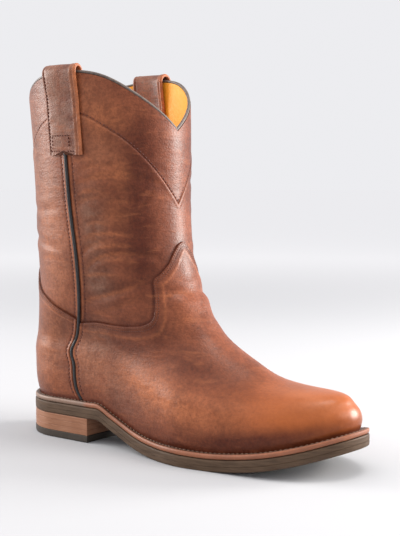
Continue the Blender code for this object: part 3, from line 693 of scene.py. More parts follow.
def overlay_top(turn):
    """Rise of the vamp's or counter's edge straight above a turn, for the leather under it."""
    way = fold_way(turn)
    order = np.argsort(VAMP_LINE["way"])
    front = np.interp(way, VAMP_LINE["way"][order], VAMP_LINE["rise"][order])
    return np.where(way >= SEAM, front, curve(COUNTER_LINE, "way", "rise", way))


def node(tree, kind, **values):
    """New shader node with its sockets and fields set by name; a socket given as a pair is a link."""
    made = tree.nodes.new(kind)
    for key, value in values.items():
        name = key.replace("_", " ")
        if hasattr(made, key) and key not in ("color", "location"):
            setattr(made, key, value)
        elif isinstance(value, bpy.types.NodeSocket):
            tree.links.new(value, made.inputs[name])
        else:
            made.inputs[name].default_value = value
    return made


def start_material(name):
    """New material with its tree and shader."""
    material = bpy.data.materials.new(name)
    material.use_nodes = True
    tree = material.node_tree
    return material, tree, tree.nodes["Principled BSDF"]


def spots(tree, vector, scale, detail=2.0, roughness=0.5, stretch=None, distortion=0.0):
    """Noise from 0 to 1 on the piece's own coordinates, stretched if asked."""
    if stretch:
        vector = node(tree, "ShaderNodeMapping", Vector=vector, Scale=stretch).outputs[0]
    noise = node(tree, "ShaderNodeTexNoise", Vector=vector, Scale=scale, Detail=detail, Roughness=roughness,
                 Distortion=distortion)
    return noise.outputs[0]


def ramp(tree, value, low, high, bottom=0.0, top=1.0):
    """Value between two limits stretched over another span and held there."""
    made = node(tree, "ShaderNodeMapRange")
    made.interpolation_type = "SMOOTHSTEP"
    tree.links.new(value, made.inputs[0])
    for place, number in enumerate((low, high, bottom, top), 1):
        made.inputs[place].default_value = number
    return made.outputs[0]


def calc(tree, operation, a, b=None):
    """One sum, product or other operation on two values."""
    made = tree.nodes.new("ShaderNodeMath")
    made.operation = operation
    for place, value in enumerate((a, b)):
        if isinstance(value, bpy.types.NodeSocket):
            tree.links.new(value, made.inputs[place])
        elif value is not None:
            made.inputs[place].default_value = value
    return made.outputs[0]


def blend(tree, share, under, over, kind="MIX"):
    """Colour over another by a share."""
    made = tree.nodes.new("ShaderNodeMix")
    made.data_type = "RGBA"
    made.blend_type = kind
    for socket, value in ((made.inputs[0], share), (made.inputs[6], under), (made.inputs[7], over)):
        if isinstance(value, bpy.types.NodeSocket):
            tree.links.new(value, socket)
        elif isinstance(value, (int, float)):
            socket.default_value = value
        else:
            socket.default_value = (*value, 1.0)
    return made.outputs[2]


def times(tree, a, b):
    """Product of two values."""
    return calc(tree, "MULTIPLY", a, b)


def plus(tree, a, b):
    """Sum of two values."""
    return calc(tree, "ADD", a, b)


def object_coordinates(tree):
    """The piece's own coordinates in metres."""
    return node(tree, "ShaderNodeTexCoord").outputs["Object"]


def relieve(tree, shader, height, strength, distance):
    """Give a shader the relief of a height field."""
    made = node(tree, "ShaderNodeBump", Height=height, Strength=strength, Distance=distance)
    tree.links.new(made.outputs[0], shader.inputs["Normal"])


def tint_sockets(tree):
    """The four values of a piece's tint attribute."""
    tint = node(tree, "ShaderNodeAttribute", attribute_name="tint")
    split = node(tree, "ShaderNodeSeparateColor", Color=tint.outputs["Color"])
    return *split.outputs[:3], tint.outputs["Alpha"]


# The leather's patterns, as scales per metre, and its finish
CLOUD_SCALE = 30.0
VEIN_SCALE = 46.0
MOTTLE_SCALE = 120.0
FIBRE_SCALE = 420.0
PORE_SCALE = 480.0
FLECK_SCALE = 700.0
FIBRE_LOW = (0.66, 0.64, 0.64)
FIBRE_HIGH = (1.22, 1.2, 1.18)
FLECK_COLOUR = (0.05, 0.022, 0.014)
LEATHER_ROUGHNESS = (0.36, 0.48)
TOE_ROUGHNESS = -0.07
LEATHER_RELIEF = 0.27


def oiled_leather(name, look, grain=1.0):
    """Oiled brown leather: mottled brown, grey bloom, rubbed tan, deep dark, fine grain and soft gloss.

    The tints lay bloom, toe, tan and deep brown over the mottled brown, each broken up by the mottle. Part of
    the deep brown is painted shade.
    Grain, veins and flecks fade towards the burnished toe, which is smoother and glossier.
    """
    material, tree, shader = start_material(name)
    place = object_coordinates(tree)
    pale, toe, grey, dark = tint_sockets(tree)
    cloud = spots(tree, place, CLOUD_SCALE, 4.0, 0.55)
    fibre = spots(tree, place, FIBRE_SCALE, 3.0, 0.6)
    veins = spots(tree, place, VEIN_SCALE, 4.0, 0.60, stretch=(1.0, 1.0, 4.0), distortion=0.25)
    fleck = spots(tree, place, FLECK_SCALE, 2.0, 0.7)
    mottle = spots(tree, place, MOTTLE_SCALE, 4.0, 0.65)
    grained = calc(tree, "SUBTRACT", 1.0, times(tree, toe, 0.75))
    colour = blend(tree, ramp(tree, cloud, 0.35, 0.65), tuple(look.brown), tuple(look.mid))
    for share, over in (
        (times(tree, ramp(tree, mottle, 0.30, 0.62, 0.25, 1.0), grey), look.bloom),
        (times(tree, toe, ramp(tree, cloud, 0.2, 0.7, 0.8, 1.0)), look.toe),
        (times(tree, pale, ramp(tree, mottle, 0.25, 0.65, 0.45, 1.0)), look.pale),
        (times(tree, ramp(tree, mottle, 0.28, 0.60, 1.0, 0.80), dark), look.deep),
    ):
        colour = blend(tree, share, colour, tuple(over))
    shading = blend(tree, ramp(tree, fibre, 0.3, 0.7), FIBRE_LOW, FIBRE_HIGH)
    colour = blend(tree, times(tree, grained, 0.55), colour, blend(tree, 1.0, colour, shading, "MULTIPLY"))
    for share, over in ((ramp(tree, veins, 0.54, 0.74, 0.0, 0.26), look.pale),
                        (ramp(tree, fleck, 0.56, 0.70, 0.0, 0.28), FLECK_COLOUR)):
        colour = blend(tree, times(tree, grained, share), colour, tuple(over))
    tree.links.new(colour, shader.inputs["Base Color"])
    rough = plus(tree, ramp(tree, mottle, 0.25, 0.75, *LEATHER_ROUGHNESS), times(tree, toe, TOE_ROUGHNESS))
    tree.links.new(rough, shader.inputs["Roughness"])
    shader.inputs["Specular IOR Level"].default_value = 0.20
    shader.inputs["Coat Weight"].default_value = 0.05
    shader.inputs["Coat Roughness"].default_value = 0.22
    cells = node(tree, "ShaderNodeTexVoronoi", Vector=place, Scale=PORE_SCALE)
    cells.feature = "DISTANCE_TO_EDGE"
    pores = ramp(tree, cells.outputs["Distance"], 0.0, 0.35)
    surface = plus(tree, times(tree, pores, 0.5), times(tree, fibre, 0.9))
    surface = plus(tree, surface, times(tree, mottle, calc(tree, "SUBTRACT", 1.4, times(tree, toe, 1.1))))
    folds = times(tree, calc(tree, "SUBTRACT", 1.0, toe), times(tree, veins, 5.0))
    relieve(tree, shader, times(tree, plus(tree, surface, folds), grained), LEATHER_RELIEF * grain, 0.0004)
    return material


def plain_material(name, colour, second, roughness, scale=300.0, depth=0.0002, stretch=None, gloss=0.4):
    """Two close colours in fine spots, with a light relief of the same spots."""
    material, tree, shader = start_material(name)
    place = object_coordinates(tree)
    fine = spots(tree, place, scale, 3.0, 0.6, stretch=stretch)
    broad = spots(tree, place, 40.0, 3.0, 0.6)
    share = plus(tree, times(tree, fine, 0.6), times(tree, broad, 0.4))
    tree.links.new(blend(tree, ramp(tree, share, 0.38, 0.62), colour, second), shader.inputs["Base Color"])
    tree.links.new(ramp(tree, fine, 0.3, 0.7, roughness - 0.06, roughness + 0.06), shader.inputs["Roughness"])
    shader.inputs["Specular IOR Level"].default_value = gloss
    relieve(tree, shader, fine, 0.6, depth)
    return material


def welt_material(look):
    """Tan welt leather, greyer round the heel where the first tint is low, with a painted shade of the gap
    under the upper where the last is high.
    """
    material, tree, shader = start_material("welt leather")
    place = object_coordinates(tree)
    front, _, _, dark = tint_sockets(tree)
    fine = spots(tree, place, FIBRE_SCALE, 3.0, 0.6)
    broad = ramp(tree, spots(tree, place, 60.0, 3.0, 0.6), 0.35, 0.65)
    tan = blend(tree, broad, tuple(look.welt), (0.310, 0.104, 0.046))
    grey = blend(tree, broad, tuple(look.rand), (0.240, 0.150, 0.105))
    colour = blend(tree, front, grey, tan)
    colour = blend(tree, ramp(tree, fine, 0.35, 0.65, 0.0, 0.3), colour, (0.16, 0.07, 0.04))
    # Where the last tint is high the welt is painted dark, a shade of the gap under the upper
    tree.links.new(blend(tree, dark, colour, (0.030, 0.014, 0.009)), shader.inputs["Base Color"])
    shader.inputs["Roughness"].default_value = 0.5
    relieve(tree, shader, fine, 0.5, 0.0002)
    return material


def finish_piece(piece, material, slot, *nodes):
    """Give a piece its material, hang it on the root body and hide the solids it replaces; the slot is not
    used.
    """
    piece.data.materials.append(material)
    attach(piece, "root")
    if nodes:
        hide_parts(*nodes)


def shade(name, words, value):
    """A colour setting."""
    return FloatVectorProperty(name=name, description=words, subtype="COLOR", size=3, min=0.0, max=1.0,
                               default=value)


def size(name, words, value):
    """A length setting in metres."""
    return FloatProperty(name=name, description=words, subtype="DISTANCE", unit="LENGTH", default=value,
                         precision=5)


class BootColours(bpy.types.PropertyGroup):
    """Colours of the leathers, the soles and the threads"""
    brown: shade("Brown", "Darker colour of the mottled leather", (0.130, 0.035, 0.016))
    mid: shade("Mid brown", "Lighter colour of the mottled leather", (0.220, 0.064, 0.029))
    bloom: shade("Bloom", "Greyish bloom on the leather", (0.215, 0.108, 0.072))
    # The deep brown also paints shade: low on the toe, down the middle of the shaft's front quarters, above
    # the welt and under the overlays' edges
    deep: shade("Deep brown", "Dark oiled areas of the shaft", (0.082, 0.016, 0.006))
    pale: shade("Rubbed tan", "Rubbed and creased leather", (0.430, 0.140, 0.056))
    toe: shade("Toe", "Burnished toe", (0.345, 0.086, 0.018))
    lining: shade("Lining", "Yellow lining leather", (0.850, 0.400, 0.030))
    welt: shade("Welt", "Orange tan welt", (0.250, 0.080, 0.034))
    rand: shade("Rand", "Greyish rand round the heel", (0.200, 0.120, 0.085))
    outsole: shade("Outsole", "Edge of the outsole", (0.070, 0.043, 0.027))
    stack: shade("Heel lifts", "Stacked leather of the heel", (0.330, 0.160, 0.095))
    cap: shade("Heel cap", "Rubber under the heel", (0.030, 0.022, 0.015))
    cord: shade("Piping", "Dark cord in the side seams", (0.012, 0.012, 0.013))
    thread: shade("Thread", "Red-brown thread", (0.075, 0.016, 0.009))


class BootSizes(bpy.types.PropertyGroup):
    """Thicknesses of the leathers, cords and threads"""
    overlay: size("Overlay", "Thickness of the vamp and counter", 0.0012)
    wall: size("Wall", "Thickness of the shaft with its lining", 0.0022)
    piping: size("Piping radius", "Radius of the cord in the side seams", 0.0013)
    binding: size("Binding radius", "Radius of the collar's edge", 0.0012)
    strap: size("Strap thickness", "Thickness of a pull strap", 0.0024)
    stitch: size("Stitch length", "Length of one stitch on the leather", 0.0021)
    thread: size("Thread radius", "Radius of the thread", 0.00050)


# How the overlays are laid: extra thickness, where creases stop short of the edge, the rises by which the
# seam's and the creases' paleness has come up, and how the rows crowd near the edge
OVERLAY_SWELL = 0.0002
CREASE_STOP = 0.004
SEAM_FADE = 0.03
STREAK_FADE = 0.05
COLUMN_SLANT = 0.03
EDGE_ZONE = 0.0036
EDGE_ROWS = np.array([0.0026, 0.0018, 0.0011, 0.0006, 0.0003, 0.0001, 0.0])
EDGE_CROWDING = 0.07
UNDER_ROWS = 14


def dress_overlay(turn, rise, edge_line, sizes):
    """Offset and tint of an overlay's face.

    The offset is the overlay's thickness, brought down to its edge and to the side seams in quarter
    circles. The creases, the seam's folds, a stitched dip beside the edge and a soft rib past it are added.
    """
    edge, seam = line_distance(turn, rise, *edge_line), seam_distance(turn, rise)
    rounded = quarter_round(edge, EDGE_ROUND) * quarter_round(seam - sizes.piping - GAP, SEAM_ROUND)
    height, streaks = crease_fields(turn, rise)
    offset = FOOT_LIFT + (sizes.overlay + OVERLAY_SWELL) * rounded + height * ease(edge / CREASE_STOP)
    offset = offset + bells(seam, SEAM_RELIEF) + bells(edge, EDGE_RELIEF)
    # The dark along the foot is a painted shade of the gap above the welt
    dark = bells(rise * UPPER_HEIGHT, FOOT_WELT_SHADE) + bells(edge, EDGE_DARK) + bells(seam, FOOT_SEAM_DARK)
    pale = bells(edge, EDGE_PALE) + bells(seam, FOOT_SEAM_PALE) * ease(rise / SEAM_FADE)
    pale = pale + streaks * ease(rise / STREAK_FADE)
    return offset, tint_values(turn, rise, dark, pale)


def overlay_piece(name, columns, count, material, sizes, solid):
    """A shell over the foot, its columns given by turns at the welt and turns and rises at the edge.

    A column runs straight, on the leather laid flat, from the welt to the edge, with rows crowded at the
    edge, and back underneath. The end columns stand off the side seams by the cord's radius, and the others
    follow less and less.
    """
    starts, ends, tops = columns
    climb = np.linspace(0.0, 1.0, count)
    climb = (climb - EDGE_CROWDING * np.sin(2 * np.pi * climb))[:, None]
    length = tops * UPPER_HEIGHT + COLUMN_SLANT
    face = np.concatenate([climb * (1 - EDGE_ZONE / length), 1 - EDGE_ROWS[:, None] / length])
    under = between(1.0, np.zeros_like(length), UNDER_ROWS)[1:]
    share = np.concatenate([face, under])
    turn, rise = starts + share * (ends - starts), LOW_RISE + share * (tops - LOW_RISE)
    for column, other in ((0, 1), (-1, -2)):
        side = np.sign(turn[:, other] - turn[:, column])
        shift = side * (sizes.piping + GAP) / stretch(turn[:, column], rise[:, column], side * TURN_STEP)
        turn = turn + shift[:, None] * np.clip(1 - np.abs(turn - turn[:, [column]]) / SEAM_TURNS[0], 0, 1)
    top = len(face)
    offset = np.full(turn.shape, FOOT_LIFT)
    offset[:top], tint = dress_overlay(turn[:top], rise[:top], (turn[top - 1], rise[top - 1]), sizes)
    tint = np.concatenate([tint, np.repeat(tint[-1:], len(under), axis=0)])
    faces = grid_faces(*turn.shape, True, False) + column_caps(top, *turn.shape)
    finish_piece(add_mesh(name, leather(turn, rise, offset), faces, {"tint": tint}), material, name, solid)


# Straps: points round a section, the powers of its superellipse, how far up the outer end its notch and its
# curl reach, and the depth and closeness of its wrinkles
STRAP_SIDES = 64
STRAP_POWERS = (0.22, 0.55)
NOTCH_REACH = 0.012
CURL_REACH = 0.010
WRINKLE_DEPTH = 0.00012
WRINKLES_ACROSS = 900
WRINKLES_UP = 40


def strap_rows(sizes):
    """Rises and offsets of a strap's middle: up the outside, in a half round over the collar and down.

    Both legs ease outwards towards the collar, so that the strap stands clear of its binding.
    """
    outer_drop = STRAP_OUTER_DROP * (1 - np.linspace(0.0, 1.0, 80)[:-1])
    inner_drop = STRAP_INNER_DROP * np.linspace(0.0, 1.0, 50)[1:]
    half = sizes.strap / 2
    top, bottom = GAP + half, -WALL_DEPTH - sizes.wall - GAP - half
    outer = top + STRAP_LOOSE * ease(1 - outer_drop / STRAP_EASE_DROP)
    inner = bottom - STRAP_LOOSE * ease(1 - inner_drop / STRAP_EASE_DROP)
    angle = np.linspace(0.0, np.pi, 33)
    crown = (top + bottom) / 2 + np.cos(angle) * ((top - bottom) / 2 + STRAP_LOOSE)
    stand = np.concatenate([-outer_drop, (STRAP_STAND - half) * np.sin(angle), -inner_drop])
    return 1 + stand / UPPER_HEIGHT, np.concatenate([outer, crown, inner]), len(outer_drop)


def strap_piece(name, seam, side, sizes, material):
    """A pull strap: a band with rounded edges carried along the rows of strap_rows.

    The section is a flat superellipse. Lengths across it become turns by the form's girth at each rise. The
    outer leg's end has a notch over the cord and its front edge curls out, and the face has sewn dips, a
    front fold and fine wrinkles.
    """
    rises, offsets, straight = strap_rows(sizes)
    angle = ring_angles(STRAP_SIDES)
    flat, thick = (np.sign(wave) * np.abs(wave) ** power
                   for wave, power in zip((np.cos(angle), np.sin(angle)), STRAP_POWERS))
    across = flat * STRAP_WIDTH / 2
    front, edge = STRAP_WIDTH / 2 - across, STRAP_WIDTH / 2 - np.abs(across)
    ways = np.linspace(-0.06, 0.06, 121)
    lengths = side * (run_round(seam + side * ways, rises[:, None]) - run_round(seam, rises[:, None]))
    turn = seam + side * np.array([np.interp(across, run, ways) for run in lengths])
    from_end = np.arange(len(rises))[:, None] * STRAP_OUTER_DROP / straight
    level = rises[:, None] + bells(across, STRAP_NOTCH) * ease(1 - from_end / NOTCH_REACH) / UPPER_HEIGHT
    path = np.column_stack([np.gradient(rises) * UPPER_HEIGHT, np.gradient(offsets)])
    climb, out = unit(path).T[:, :, None]
    wrinkles = np.sin(across * WRINKLES_ACROSS + 4 * np.sin(rises[:, None] * WRINKLES_UP)) * WRINKLE_DEPTH
    relief = bells(edge, STRAP_RELIEF) + bells(front, STRAP_FRONT_RELIEF) + wrinkles
    half = sizes.strap / 2 * thick + relief * np.maximum(thick, 0)
    curl = bells(front, STRAP_CURL) * ease(1 - from_end / CURL_REACH) * np.abs(thick)
    points = leather(turn, level - half * out / UPPER_HEIGHT, offsets[:, None] + half * climb + curl)
    faces = capped_grid(len(rises), STRAP_SIDES)
    if side == 1:
        faces = [face[::-1] for face in faces]
    tint = np.zeros(turn.shape + (4,))
    tint[..., 0] = np.clip(bells(edge, STRAP_PALE) + bells(front, STRAP_FRONT_PALE), 0, 1)
    tint[..., 2] = 0.75
    # The front fold's crease gets a painted shade
    tint[..., 3] = np.clip(bells(edge, STRAP_DARK) + bells(front, STRAP_FOLD_SHADE), 0, 1)
    finish_piece(add_mesh(name + "_leather", points, faces, {"tint": tint}), material, "strap_leather", name)


class BOOT_OT_foot(bpy.types.Operator):
    """Make the vamp and the counter over the foot"""
    bl_idname = "boot.foot"
    bl_label = "Vamp and counter"

    def execute(self, context):
        sizes = context.scene.boot_sizes
        skin = oiled_leather("oiled leather", context.scene.boot_colours)
        front, back = fine_ways(2, 20, 175), fine_ways(100, 24, 2)
        overlay_piece("vamp_leather", vamp_edge(front[front >= SEAM]), 165, skin, sizes, "vamp")
        overlay_piece("counter_leather", counter_edge(back[back <= SEAM]), 110, skin, sizes, "counter")
        return {"FINISHED"}


# The shaft's wall: how far its face (in metres) and its back and lining (in rises) end below the collar,
# where the lining starts, the shares of the wall taken by the leather and reached by the lining's back, and
# its waves
SHAFT_SHORT = 0.0004
INNER_SHORT = 0.0016
LINING_SHORT = 0.0010
LINING_LOW = 0.004
SHAFT_SHARE = 0.6
LINING_SHARE = 0.62
LINING_WAVE = 0.0003


def shaft_piece(sizes, material):
    """The shaft's leather: the face up from under the overlays, then the inner face down.

    Columns stand at even ways, closer beside the seams. Rows are closer across the yoke's seam. The face's
    offset is the sum of the creases, the yoke's step and valley and the side seams' folds.
    """
    turns = both_sides(fine_ways(84, 14, 132))
    low = overlay_top(turns) - SHAFT_LAP
    collar, yoke = (curve(line, "way", "rise", fold_way(turns)) for line in (COLLAR, YOKE))
    step = YOKE_BAND / UPPER_HEIGHT
    rise = np.concatenate([
        between(LOW_RISE, low, 27)[:-1],
        between(low, yoke - step, 86),
        between(yoke - step, yoke + step, 13)[1:-1],
        between(yoke + step, collar - SHAFT_SHORT / UPPER_HEIGHT, 34),
    ])
    turn = np.broadcast_to(turns, rise.shape)
    seam = seam_distance(turn, rise)
    height, streaks = crease_fields(turn, rise)
    stepped, above = yoke_relief(turn, rise)
    edge = np.minimum(*(line_distance(turn, rise, *line[1:]) for line in (vamp_edge(), counter_edge())))
    offset = SHAFT_LIFT + height + stepped + bells(seam, SEAM_RELIEF)
    dark = bells(edge, EDGE_SHADOW) + bells(above, YOKE_DARK) + bells(seam, SEAM_DARK)
    # The pale just below the yoke's seam is a painted highlight
    tint = tint_values(turn, rise, dark, bells(seam, SEAM_PALE) + bells(above, YOKE_HIGHLIGHT) + streaks)
    inner_rise = between(collar - INNER_SHORT, LOW_RISE, 34)
    inner = leather(turns, inner_rise, -WALL_DEPTH - sizes.wall * SHAFT_SHARE)
    points = np.concatenate([leather(turn, rise, offset), inner])
    tint = np.concatenate([tint, np.repeat(tint[-1:], len(inner_rise), axis=0)])
    piece = add_mesh("shaft_leather", points, grid_faces(*points.shape[:2], True, True), {"tint": tint})
    finish_piece(piece, material, "shaft_leather", "upper")


def lining_piece(sizes, material):
    """The lining: its face down inside the wall, with faint waves and a ridge at each seam, then its back."""
    turns = both_sides(fine_ways(50, 6, 70))
    top = curve(COLLAR, "way", "rise", fold_way(turns)) - LINING_SHORT
    face, back = between(top, LINING_LOW, 90), between(LINING_LOW, top, 70)
    wave = np.sin(turns * 2 * np.pi * 9 + 3 * face) * np.sin(face * 19.0)
    ridge = bump(seam_distance(np.broadcast_to(turns, face.shape), face), 0.002)
    points = np.concatenate([leather(turns, face, -WALL_DEPTH - sizes.wall + LINING_WAVE * (wave + ridge)),
                             leather(turns, back, -WALL_DEPTH - sizes.wall * LINING_SHARE)])
    finish_piece(add_mesh("lining", points, grid_faces(*points.shape[:2], True, True)), material, None)


class BOOT_OT_shaft(bpy.types.Operator):
    """Make the shaft's leather and the lining inside it"""
    bl_idname = "boot.shaft"
    bl_label = "Shaft and lining"

    def execute(self, context):
        sizes, look = context.scene.boot_sizes, context.scene.boot_colours
        shaft_piece(sizes, bpy.data.materials["oiled leather"])
        yellow = (0.82, 0.36, 0.025)
        lining_piece(sizes, plain_material("lining leather", tuple(look.lining), yellow, 0.6, 420.0, 0.00015))
        return {"FINISHED"}


class BOOT_OT_trim(bpy.types.Operator):
    """Make the side piping, the collar's binding and the pull straps"""
    bl_idname = "boot.trim"
    bl_label = "Piping, binding and straps"

    def execute(self, context):
        sizes, look = context.scene.boot_sizes, context.scene.boot_colours
        cord = plain_material("piping cord", tuple(look.cord), (0.028, 0.027, 0.027), 0.42, 700.0, 0.0001)
        rise = np.linspace(0.0055, 1 - (STRAP_OUTER_DROP - 0.006) / UPPER_HEIGHT, 300)
        for name, seam in zip(("piping_outer", "piping_inner"), SEAM_TURNS):
            turn = np.full_like(rise, seam)
            path, normals = leather(turn, rise, 0.0010), read_form(FORM_NORMALS, turn, rise)
            finish_piece(add_tube(name + "_cord", path, sizes.piping, normals, 14), cord, "piping", name)
        turns = both_sides(np.linspace(0.0, 1.0, 181))
        rise = curve(COLLAR, "way", "rise", fold_way(turns))
        middle = leather(turns, rise, -WALL_DEPTH - sizes.wall / 2)
        along = np.roll(middle, -1, axis=0) - np.roll(middle, 1, axis=0)
        above = unit(np.cross(leather(turns, rise) - middle, along))
        edge = plain_material("collar binding", (0.085, 0.066, 0.058), (0.150, 0.115, 0.098), 0.5, 500.0)
        path = middle + above * sizes.binding * 0.55
        piece = add_tube("binding_cord", path, sizes.binding, above, 12, True)
        finish_piece(piece, edge, "binding", "collar_binding")
        skin = oiled_leather("strap leather", look, 0.8)
        for name, seam, side in zip(("pull_strap_outer", "pull_strap_inner"), SEAM_TURNS, (1, -1)):
            strap_piece(name, seam, side, sizes, skin)
        return {"FINISHED"}


def sole_plan(turn, inset=0.0):
    """Plan points of the sole's outline moved inwards by an inset, square to it."""
    def plan(at):
        column = np.mod(at, 1.0) * FORM_TURNS
        first = column.astype(int)
        t = (column - first)[:, None]
        return SOLE_NET[first % FORM_TURNS] * (1 - t) + SOLE_NET[(first + 1) % FORM_TURNS] * t
    tangent = unit(plan(turn + TURN_STEP) - plan(turn - TURN_STEP))
    return plan(turn) + inset * np.stack([-tangent[:, 1], tangent[:, 0]], axis=1)


def on_sole(plan, height):
    """Points over plan points, at a height above the outsole's underside."""
    return np.column_stack([plan, underside(plan[:, 0]) + height])


def make_sole_net():
    """The sole's outline at even turns: the full width with a round at the heel and one at the toe."""
    whole = dict(SOLE_ROUNDS, back=0.0, depth=OUTSOLE_LENGTH, foot_width=1.0, shaft_width=0.0)
    row = {name: np.array([value]) for name, value in whole.items()}
    seam = row.pop("seam")
    plan = round_points(*plan_halves(**row), seam)[0]
    plan[:, 0] -= HEEL_CENTRE
    return plan


SOLE_NET = make_sole_net()


def stack_faces(rows, columns):
    """Quads up a stack of loops and strips across its bottom and top."""
    faces = grid_faces(rows, columns, False, True)
    top = (rows - 1) * columns
    for i in range((columns + 1) // 2):
        strip = list(dict.fromkeys([i, i + 1, columns - i - 1, (columns - i) % columns]))
        if len(strip) > 2:
            faces.append(strip[::-1])
            faces.append([top + k for k in strip])
    return faces


def edge_loops(turn, profile, base):
    """Loops up a sole edge: each row of the profile gives a height and an inset, in metres."""
    return np.array([on_sole(sole_plan(turn, inset), base + height) for height, inset in profile])


def breast_way():
    """Ways on the outer and inner side where the heel's front edge crosses the outline."""
    ways = np.linspace(0.0, 0.5, 600)
    return [np.interp(HEEL_LENGTH, sole_plan(turns)[:, 0] + HEEL_CENTRE, ways)
            for turns in (ways / 2, 1 - ways / 2)]


def heel_loops(profile):
    """Loops of the heel block: the sole's outline closed by a straight front edge, by heights and insets."""
    outer_cut, inner_cut = breast_way()
    outer = np.linspace(0.0, outer_cut, 90) / 2
    inner = 1 - np.linspace(0.0, inner_cut, 90)[:0:-1] / 2
    loops = []
    for height, inset in profile:
        a, b = sole_plan(outer, inset), sole_plan(inner, inset)
        a[-1, 0] = b[0, 0] = HEEL_LENGTH - HEEL_CENTRE - inset
        plan = np.concatenate([a, b])
        loops.append(np.column_stack([plan, np.full(len(plan), height)]))
    return np.array(loops)


def stack_piece(name, loops, material, slot, solid, sharp=0.3):
    """A piece made of a stack of loops, closed below and above."""
    piece = add_mesh(name, loops, stack_faces(*loops.shape[:2]), sharp=sharp)
    finish_piece(piece, material, slot, solid)


def welt_piece(look):
    """The welt: up its edge, in over its slightly dipped top to the upper's foot, and down inside.

    The tint is tan in front of the heel and darkens towards the upper, a painted shade of the gap under it.
    """
    turn = np.arange(SOLE_TURNS) / SOLE_TURNS
    thick, base = WELT_THICKNESS - GAP, OUTSOLE_THICKNESS + GAP
    profile = ((0.0, 0.0010), (0.0002, 0.0006), (0.0010, 0.0002), (thick * 0.55, 0.0002),
               (thick - 0.0006, 0.0004), (thick - 0.0002, 0.0009), (thick, 0.0016))
    edge = edge_loops(turn, profile, base)
    inside = leather(turn, 0.0, -0.0016)[:, :2]
    rows = [*edge]
    for share in (0.15, 0.3, 0.45, 0.6, 0.75, 0.9, 1.0):
        plan = edge[-1, :, :2] * (1 - share) + inside * share
        rows.append(on_sole(plan, base + thick - 0.00025 * bump(share - 0.45, 0.2)))
    rows = np.array([*rows, on_sole(inside, base)])
    tint = np.zeros(rows.shape[:2] + (4,))
    tint[..., 0] = ease((sole_plan(turn)[:, 0] + HEEL_CENTRE - HEEL_LENGTH + 0.006) / 0.006)
    # Painted shade over the welt's top towards the upper's foot
    tint[-10:, :, 3] = np.array([0.3, 0.75, 0.95] + [1.0] * 7)[:, None]
    piece = add_mesh("welt_leather", rows, grid_faces(*rows.shape[:2], True, True), {"tint": tint}, sharp=0.9)
    finish_piece(piece, welt_material(look), "welt", "welt")


# The worn edge where rubber meets the floor, as heights and insets
FLOOR_EDGE = ((0.0, 0.0012), (0.0003, 0.0005), (0.0010, 0.0001))


class BOOT_OT_sole(bpy.types.Operator):
    """Make the welt, the outsole, the heel and the insole"""
    bl_idname = "boot.sole"
    bl_label = "Welt, sole and heel"

    def execute(self, context):
        look = context.scene.boot_colours
        thick = OUTSOLE_THICKNESS
        profile = (*FLOOR_EDGE, (thick * 0.42, 0.0), (thick * 0.45, 0.0003), (thick * 0.48, 0.0),
                   (thick - 0.0012, 0.0001), (thick - 0.0004, 0.0004), (thick - 0.0001, 0.0010))
        rubber = plain_material("outsole edge", tuple(look.outsole), (0.105, 0.066, 0.042), 0.55, 200.0,
                                0.0002, (0.3, 0.3, 3.0), 0.15)
        loops = edge_loops(np.arange(SOLE_TURNS) / SOLE_TURNS, profile, 0.0)
        stack_piece("outsole_rubber", loops, rubber, "outsole", "outsole")
        welt_piece(look)

        low, high = CAP_THICKNESS + GAP * 0.3, SEAT_HEIGHT - GAP * 0.3
        profile = [(low, 0.0006), (low + 0.0003, 0.0003)]
        for joint in (low + (high - low) / 3, low + (high - low) * 2 / 3):
            profile += [(joint - 0.0003, 0.0002), (joint, 0.0005), (joint + 0.0003, 0.0002)]
        profile += [(high - 0.0003, 0.0003), (high, 0.0006)]
        lifts = plain_material("heel lift leather", tuple(look.stack), (0.270, 0.120, 0.066), 0.45, 240.0,
                               0.00015, (0.4, 0.4, 4.0), 0.2)
        stack_piece("heel_lifts", heel_loops(profile), lifts, "heel_lifts", "heel_stack")
        profile = (*FLOOR_EDGE, (CAP_THICKNESS - 0.0003, 0.0), (CAP_THICKNESS, 0.0004))
        cap = plain_material("heel cap rubber", tuple(look.cap), (0.045, 0.032, 0.023), 0.6, 300.0)
        stack_piece("heel_cap_rubber", heel_loops(profile), cap, "heel_rubber", "heel_cap")

        inside = leather(np.arange(240) / 240, 0.0, -0.0030)[:, :2]
        centre, top = inside.mean(axis=0), WELT_THICKNESS + INSOLE_THICKNESS
        loops = np.array([on_sole(centre + (inside - centre) * share, OUTSOLE_THICKNESS + GAP + height)
                          for height, share in ((0.0, 1.0), (top - 0.0016, 1.0), (top - 0.0010, 0.99))])
        insole = plain_material("insole leather", (0.520, 0.300, 0.140), (0.420, 0.220, 0.095), 0.6)
        stack_piece("insole_leather", loops, insole, "insole", "insole", 0.9)
        return {"FINISHED"}


# Stitches: rows below the overlays' edges, the gap left either side of those edges, the rows on a strap as
# corners in millimetres, across it and down from the collar's peak, and the welt's pitch
EDGE_STITCHES = (0.0016, 0.0034)
EDGE_CLEAR = 0.006
STRAP_SEWING = (
    ((-13.8, 2.0), (-13.8, 58.2), (-3.0, 58.2)),
    ((3.0, 58.2), (14.0, 58.2)),
    ((-11.0, 57.0), (-11.0, 46.5), (5.5, 46.5), (5.5, 57.0)),
)
WELT_PITCH = 0.0036


def strap_line(corners, seam, side, sizes, pitch):
    """A row of stitches on a strap's outer leg, through its corners."""
    corners = np.array(corners) / 1000
    steps = np.linspace(0, len(corners) - 1, 60 * (len(corners) - 1) + 1)
    across, down = (np.interp(steps, np.arange(len(corners)), values) for values in corners.T)
    rise = 1 - down / UPPER_HEIGHT
    lift = GAP + sizes.strap + STRAP_LOOSE * ease(1 - down / STRAP_EASE_DROP) - 0.00005
    return along_line(seam + side * across / stretch(seam - 0.01, rise, 0.02), rise, lift, pitch)


